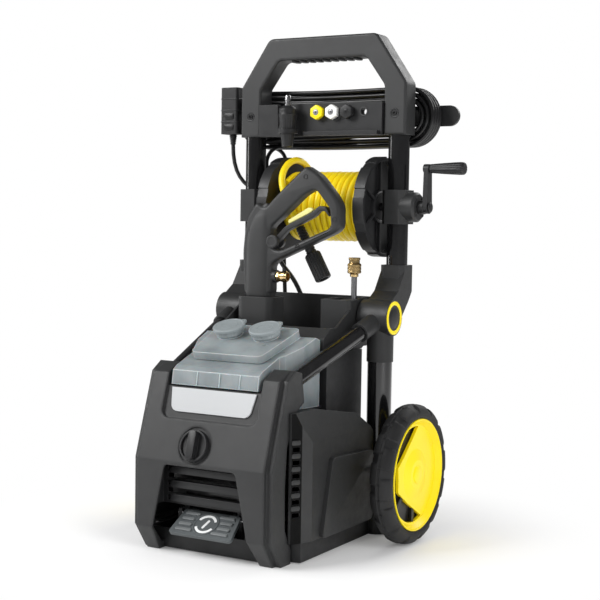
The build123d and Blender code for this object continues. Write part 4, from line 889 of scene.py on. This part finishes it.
place = frame_of(at(112, 88, 478.1), UP, RIGHT)
coupling = lathe("wand_coupling_turned",
                 [(5.4, 0), (7.6, 0.2), (7.9, 1), (7.9, 4.8), (8.6, 5.6), (12.2, 7.0), (12.9, 8.2),
                  (12.9, 11), (12.3, 11.6), (12.3, 13), (12.9, 13.6), (12.9, 17), (12.3, 17.6),
                  (12.3, 19), (12.9, 19.6), (12.9, 22.6), (12.0, 24.2), (10.2, 25.4), (9.9, 26.4),
                  (9.9, 30.6), (10.9, 32.0), (10.9, 35.0), (10.2, 35.8), (6.6, 35.8), (6.1, 35.0),
                  (6.1, 24), (1, 23)],
                 place, "wand", "brass", steps=72, angle=26)
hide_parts("wand_coupling")

INLET_Z = 475
GUN = [(-74, 616), (-93, 588), (-100, 560), (-104, 520), (-100, 440), (-40, 440), (-40, 496),
       (-28, 505), (95, 559), (106, 569), (106, 609), (95, 627), (62, 665), (34, 681), (29, 679),
       (-28, 630), (-56, 603)]
GUN_HOLE = [(53, 640), (84, 604), (87, 569), (-20, 525), (-36, 527), (-45, 544), (-43, 568),
            (-27, 580), (28, 628)]
gun_place = frame_of(at(0, GUN_Y, 0), FRONT, RIGHT)
bm = bmesh.new()
add_plate(bm, [softened(GUN, 10), softened(GUN_HOLE, 9)[::-1]], gun_place, 30, 7)
# the grip, which ends in the holster
add_loft(bm, [(364.4, -70, 24.5, 16), (365.6, -70, 26.2, 17.8), (368, -70, 27, 18.7),
              (392, -70, 27.2, 19), (394, -70, 26.2, 18), (400, -70, 26.2, 18),
              (402, -70, 27.3, 19), (470, -70, 28.2, 19.2), (535, -70, 28.6, 19),
              (560, -68, 26.5, 18.4), (584, -64, 21, 17), (602, -59, 14, 14), (612, -55, 6, 8)],
         GUN_Y)
for out in (-1, 1):
    add_lathe(bm, [(12.4, 8), (12.4, 15.6), (11.6, 16.6), (8.6, 17), (7.8, 16.2), (1, 16.2)],
              frame_of(at(-37, GUN_Y, 541), (0, out, 0), RIGHT), 48)
add_lathe(bm, [(12, -16), (12, -1.2), (11, -0.1), (1, -0.1)],
          frame_of(at(-32, GUN_Y, INLET_Z), RIGHT, FRONT), 48)
gun = add_piece("gun_moulding", bm, "spray_gun", "shell", 40)
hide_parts("gun_body")

# screws on the gun's near side: one on the thicker grip, the others on the flat
ON_FLAT = [(1.6, 14.6), (3.0, 14.7), (3.4, 15.5), (4.6, 15.5), (5.0, 14.6)]
ON_GRIP = [(1.6, 18.2), (3.0, 18.4), (3.4, 19.3), (4.6, 19.3), (5.0, 18.2)]
bm = bmesh.new()
for x, z, profile in ((-84, 560, ON_FLAT), (-70, 420, ON_GRIP), (34, 662, ON_FLAT),
                      (96, 584, ON_FLAT), (18, 533, ON_FLAT)):
    add_lathe(bm, profile, frame_of(at(x, GUN_Y, z), FRONT, RIGHT), 24)
add_piece("gun_screws", bm, "spray_gun", "black")

TRIGGER = [(-40, 545), (-28, 556), (-14, 570), (44, 597), (58, 609), (74, 607), (82, 592),
           (79, 589), (71, 599), (60, 600), (48, 588), (-8, 562), (-20, 550), (-31, 537)]
bm = bmesh.new()
add_plate(bm, [softened(TRIGGER, 5)], gun_place, 14, 2.2)
trigger = add_piece("trigger_moulding", bm, "gun_trigger", "shell", 40)
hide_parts("gun_trigger")
LOCK = [(-8, 574), (36, 594.5), (44, 600), (42, 604.5), (34, 605.5), (28, 602), (-9, 581.5)]
bm = bmesh.new()
add_plate(bm, [softened(LOCK, 3)], gun_place, 10, 2.0)
lock = add_piece("lock_moulding", bm, "gun_trigger", "cream", 40)
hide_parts("trigger_lock")

place = frame_of(at(-31.9, GUN_Y, INLET_Z), RIGHT, FRONT)
bm = bmesh.new()
add_prism(bm, hexagon(11.0, 0), place, 7.2, 0.9)
add_lathe(bm, [(8.2, 6.8), (8.2, 9.4), (10.4, 10.2), (10.7, 11.2), (10.7, 18.2), (10.2, 19.0),
               (9.2, 19.4), (9.2, 21.2), (8.6, 21.8), (7.2, 21.8), (6.9, 14), (0.5, 13.8)],
          place)
inlet = add_piece("gun_inlet_turned", bm, "spray_gun", "brass", 26)
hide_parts("gun_inlet")

# ======== tank caps ========

SLOPE = math.radians(19.5)
TANK_UP = Vector((0, -math.sin(SLOPE), math.cos(SLOPE)))


def scallops(angle, radius, height):
    """A wavy skirt below the rim of the cap."""
    if 5.5 < height < 13 and radius > 24:
        return radius - 1.5 * max(0.0, math.cos(9 * angle)) ** 2
    return radius


for word, side in SIDES:
    # each cap's middle lies on the tank's raised top
    place = frame_of(at(side * 38, -99, 375), TANK_UP, RIGHT)
    bm = bmesh.new()
    add_lathe(bm, [(23.5, 4.2), (25.6, 4.3), (26.3, 5.2), (26.4, 6.2), (26.4, 11.6),
                   (27.4, 12.5), (29.2, 13.0), (29.5, 14.0), (29.5, 17.4), (28.9, 18.6),
                   (27.6, 19.1), (25.4, 19.1), (24.8, 18.4), (3, 18.4), (0.5, 18.4)],
              place, 144, scallops)
    add_prism(bm, rounded(15, 14, 5, cx=12, cy=26), place @ lifted(12.6), 4.0, 1.2)
    cap = add_piece(f"{word}_cap_scalloped", bm, f"{word}_tank_cap", "cap", 26)
    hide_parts(f"{word}_tank_cap")
    bm = bmesh.new()
    add_lathe(bm, [(14.4, 18.1), (14.6, 18.8), (16.2, 18.8), (16.4, 18.1)], place, 72, ring=True)
    add_prism(bm, rounded(20, 2.2, 1.0), place @ lifted(18.2), 0.6, 0.2)
    add_piece(f"{word}_cap_ring", bm, f"{word}_tank_cap", "cap")

# ridges down the tank's front
bm = bmesh.new()
for x in (-36, 10.5, 52):
    place = frame_of(at(x, -205.2, 305.5), (0, -0.987, 0.158), RIGHT)
    add_prism(bm, rounded(2.2, 25, 1.0), place, 0.9, 0.4)
add_piece("tank_ridges", bm, "machine", "tank")

# ======== pedal ========

# y and z of the tread's back and front edge
pedal_back, pedal_front = (-204.0, 75.0), (-249.0, 42.0)
rise = Vector((0, pedal_back[0] - pedal_front[0], pedal_back[1] - pedal_front[1])).normalized()
pedal_mid = at(0, (pedal_back[0] + pedal_front[0]) / 2, (pedal_back[1] + pedal_front[1]) / 2)
pedal_up = Vector(RIGHT).cross(rise)
place = frame_of(pedal_mid, pedal_up, RIGHT)
bm = bmesh.new()
add_lathe(bm, [(21.4, -0.2), (21.9, 1.2), (24.0, 1.4), (24.6, -0.2)], place, ring=True)
add_piece("pedal_disc_rim", bm, "foot_pedal", "pedal")
bm = bmesh.new()
for start, end in ((25, 155), (205, 335)):
    outer = arc_points(20.2, start, end, 22)
    inner = arc_points(15.6, end, start, 22)
    add_prism(bm, outer + inner, place @ lifted(-0.1), 1.0, 0.15, 1)
bar_place = place @ Matrix.Rotation(math.radians(-18), 4, "Z")
add_prism(bm, rounded(4.4, 20, 1.6), bar_place, 0.8, 0.15, 1)
add_piece("pedal_ring_mark", bm, "foot_pedal", "mark")
bm = bmesh.new()
for row in range(4):
    across = -18 + 12 * row
    inner = math.sqrt(27.5 ** 2 - across ** 2)
    outer = 53 - row
    for side in (-1, 1):
        add_prism(bm, rounded(outer - inner, 5.6, 2.2, cx=side * (outer + inner) / 2, cy=across),
                  place @ lifted(-0.4), 3.2, 1.3)
# painted highlight: the ribs take the lighter grey, as the light on their tops
add_piece("pedal_ribs", bm, "foot_pedal", "rib")

# ======== front cover's knob and grille, side covers' panels ========

place = frame_of(at(-15, -240.41, 195), (0, -0.9525, 0.3045), RIGHT)
bm = bmesh.new()
add_lathe(bm, [(28, -1.6), (28, 5.5), (27, 7.3), (24.6, 7.3), (23.6, 6.4), (22.8, 3.0), (6, 2.2),
               (0.5, 2.2)], place, 96)
add_prism(bm, rounded(14.6, 50, 5), place @ lifted(1.8), 13.0, 3.4, 4)
knob = add_piece("knob_turned", bm, "selector_knob", "dark", 30)
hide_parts("selector_knob")

bm = bmesh.new()
for k in range(3):
    place = frame_of(at(8, -211, 146 - 24.5 * k), FRONT, RIGHT)
    add_prism(bm, rounded(168, 12, 5), place, 15, 4.5, 4)
add_piece("grille_slats", bm, "machine", "dark")

for word, side in SIDES:
    # louvre ribs down the corner, whose chamfered face is painted near-black as the shade of a
    # deep recess
    cover = nodes[f"{word}_side_cover"]
    cover.data.materials.append(LOOKS["void"])
    turned = cover.matrix_world.to_3x3()
    for face in cover.data.polygons:
        normal = (turned @ face.normal).normalized()
        if 0.8 < normal.x * side < 0.9 and normal.y < -0.4:
            face.material_index = 1
    place = frame_of(at(side * 151.5, -181.5, 0), (side * 0.866, -0.501, 0), UP)
    bm = bmesh.new()
    for k in range(6):
        add_prism(bm, rounded(8, 17, 2.4, cx=97 + 22.4 * k, cy=1.5 * side),
                  place @ lifted(-0.6), 2.6, 1.2)
    add_piece(f"{word}_louvre_ribs", bm, "machine", "shell")
    # bare raised panel beside the wheel
    place = frame_of(at(side * 165, 0, 0), (side, 0, 0), (0, 1, 0))
    bm = bmesh.new()
    panel = [(-92, 172 * side), (62, 165 * side), (62, 37 * side), (-125, 37 * side)]
    add_prism(bm, softened(panel, 10, 6), place @ lifted(-1), 9.5, 3.6, 4)
    add_piece(f"{word}_side_panel", bm, "machine", "shell")

# ======== floor, world and lamps ========

FLOOR_HALF = 14
corners = [(x * FLOOR_HALF, y * FLOOR_HALF, 0) for x, y in ((-1, -1), (1, -1), (1, 1), (-1, 1))]
floor_mesh = bpy.data.meshes.new("floor")
floor_mesh.from_pydata(corners, [], [(0, 1, 2, 3)])
floor = bpy.data.objects.new("floor", floor_mesh)
scene.collection.objects.link(floor)
ground = Tree("floor_pale")
ground.set(Base_Color=(0.92, 0.92, 0.92, 1), Roughness=0.9, Specular_IOR_Level=0.1)
# to the camera the floor fades from lit, under the machine, to plain white
source = ground.add("TexCoord")
distance = ground.add("VectorMath", operation="LENGTH")
ground.join(source, "Object", distance, "Vector")
far = ground.span(distance, "Value", 0.12, 1.0, 0.28, 0.62)
far.interpolation_type = "SMOOTHSTEP"
white = ground.add("Emission", Color=(1, 1, 1, 1), Strength=1.0)
path = ground.add("LightPath")
both = ground.add("Math", operation="MULTIPLY")
ground.join(path, "Is Camera Ray", both, 0)
ground.join(far, "Result", both, 1)
blend = ground.add("MixShader")
ground.join(both, "Value", blend, 0)
ground.join(ground.shader, "BSDF", blend, 1)
ground.join(white, "Emission", blend, 2)
ground.join(blend, "Shader", ground.out, "Surface")
floor_mesh.materials.append(ground.material)

world = bpy.data.worlds.new("studio")
scene.world = world
world.use_nodes = True
tree = world.node_tree
tree.nodes.clear()
rays = tree.nodes.new("ShaderNodeLightPath")


def backdrop(strength):
    """White light from all round."""
    node = tree.nodes.new("ShaderNodeBackground")
    node.inputs["Color"].default_value = (1, 1, 1, 1)
    node.inputs["Strength"].default_value = strength
    return node


def choose(kind, usual, special):
    """One shader as usual, and another for one kind of ray."""
    node = tree.nodes.new("ShaderNodeMixShader")
    tree.links.new(rays.outputs[kind], node.inputs[0])
    tree.links.new(usual.outputs[0], node.inputs[1])
    tree.links.new(special.outputs[0], node.inputs[2])
    return node


reflected = choose("Is Glossy Ray", backdrop(0.48), backdrop(0.13))
seen = choose("Is Camera Ray", reflected, backdrop(1.0))
out = tree.nodes.new("ShaderNodeOutputWorld")
tree.links.new(seen.outputs[0], out.inputs["Surface"])


def lamp(name, place, target, size, power):
    """A rectangular area lamp, aimed at target."""
    data = bpy.data.lights.new(name, "AREA")
    data.shape = "RECTANGLE"
    data.size, data.size_y = size
    data.energy = power
    piece = bpy.data.objects.new(name, data)
    scene.collection.objects.link(piece)
    piece.location = place
    piece.rotation_euler = (Vector(target) - Vector(place)).to_track_quat("-Z", "Y").to_euler()
    return piece


middle = (0, 0, 0.45)
lamp("key", (-1.9, -2.2, 2.4), middle, (1.6, 1.6), 88)
fill = lamp("fill", (2.6, -1.2, 1.3), middle, (1.2, 2.2), 50)
fill.visible_glossy = False
lamp("rim", (0.6, 2.6, 2.0), middle, (2.4, 1.2), 34)
lamp("strip", (-2.6, -0.7, 1.0), middle, (0.22, 2.4), 16)

# ======== close ========

curve_length(power_cord)
curve_length(wound_hose)
curve_length(hose_tail)
curve_length(feed_hose)

bpy.context.view_layer.update()
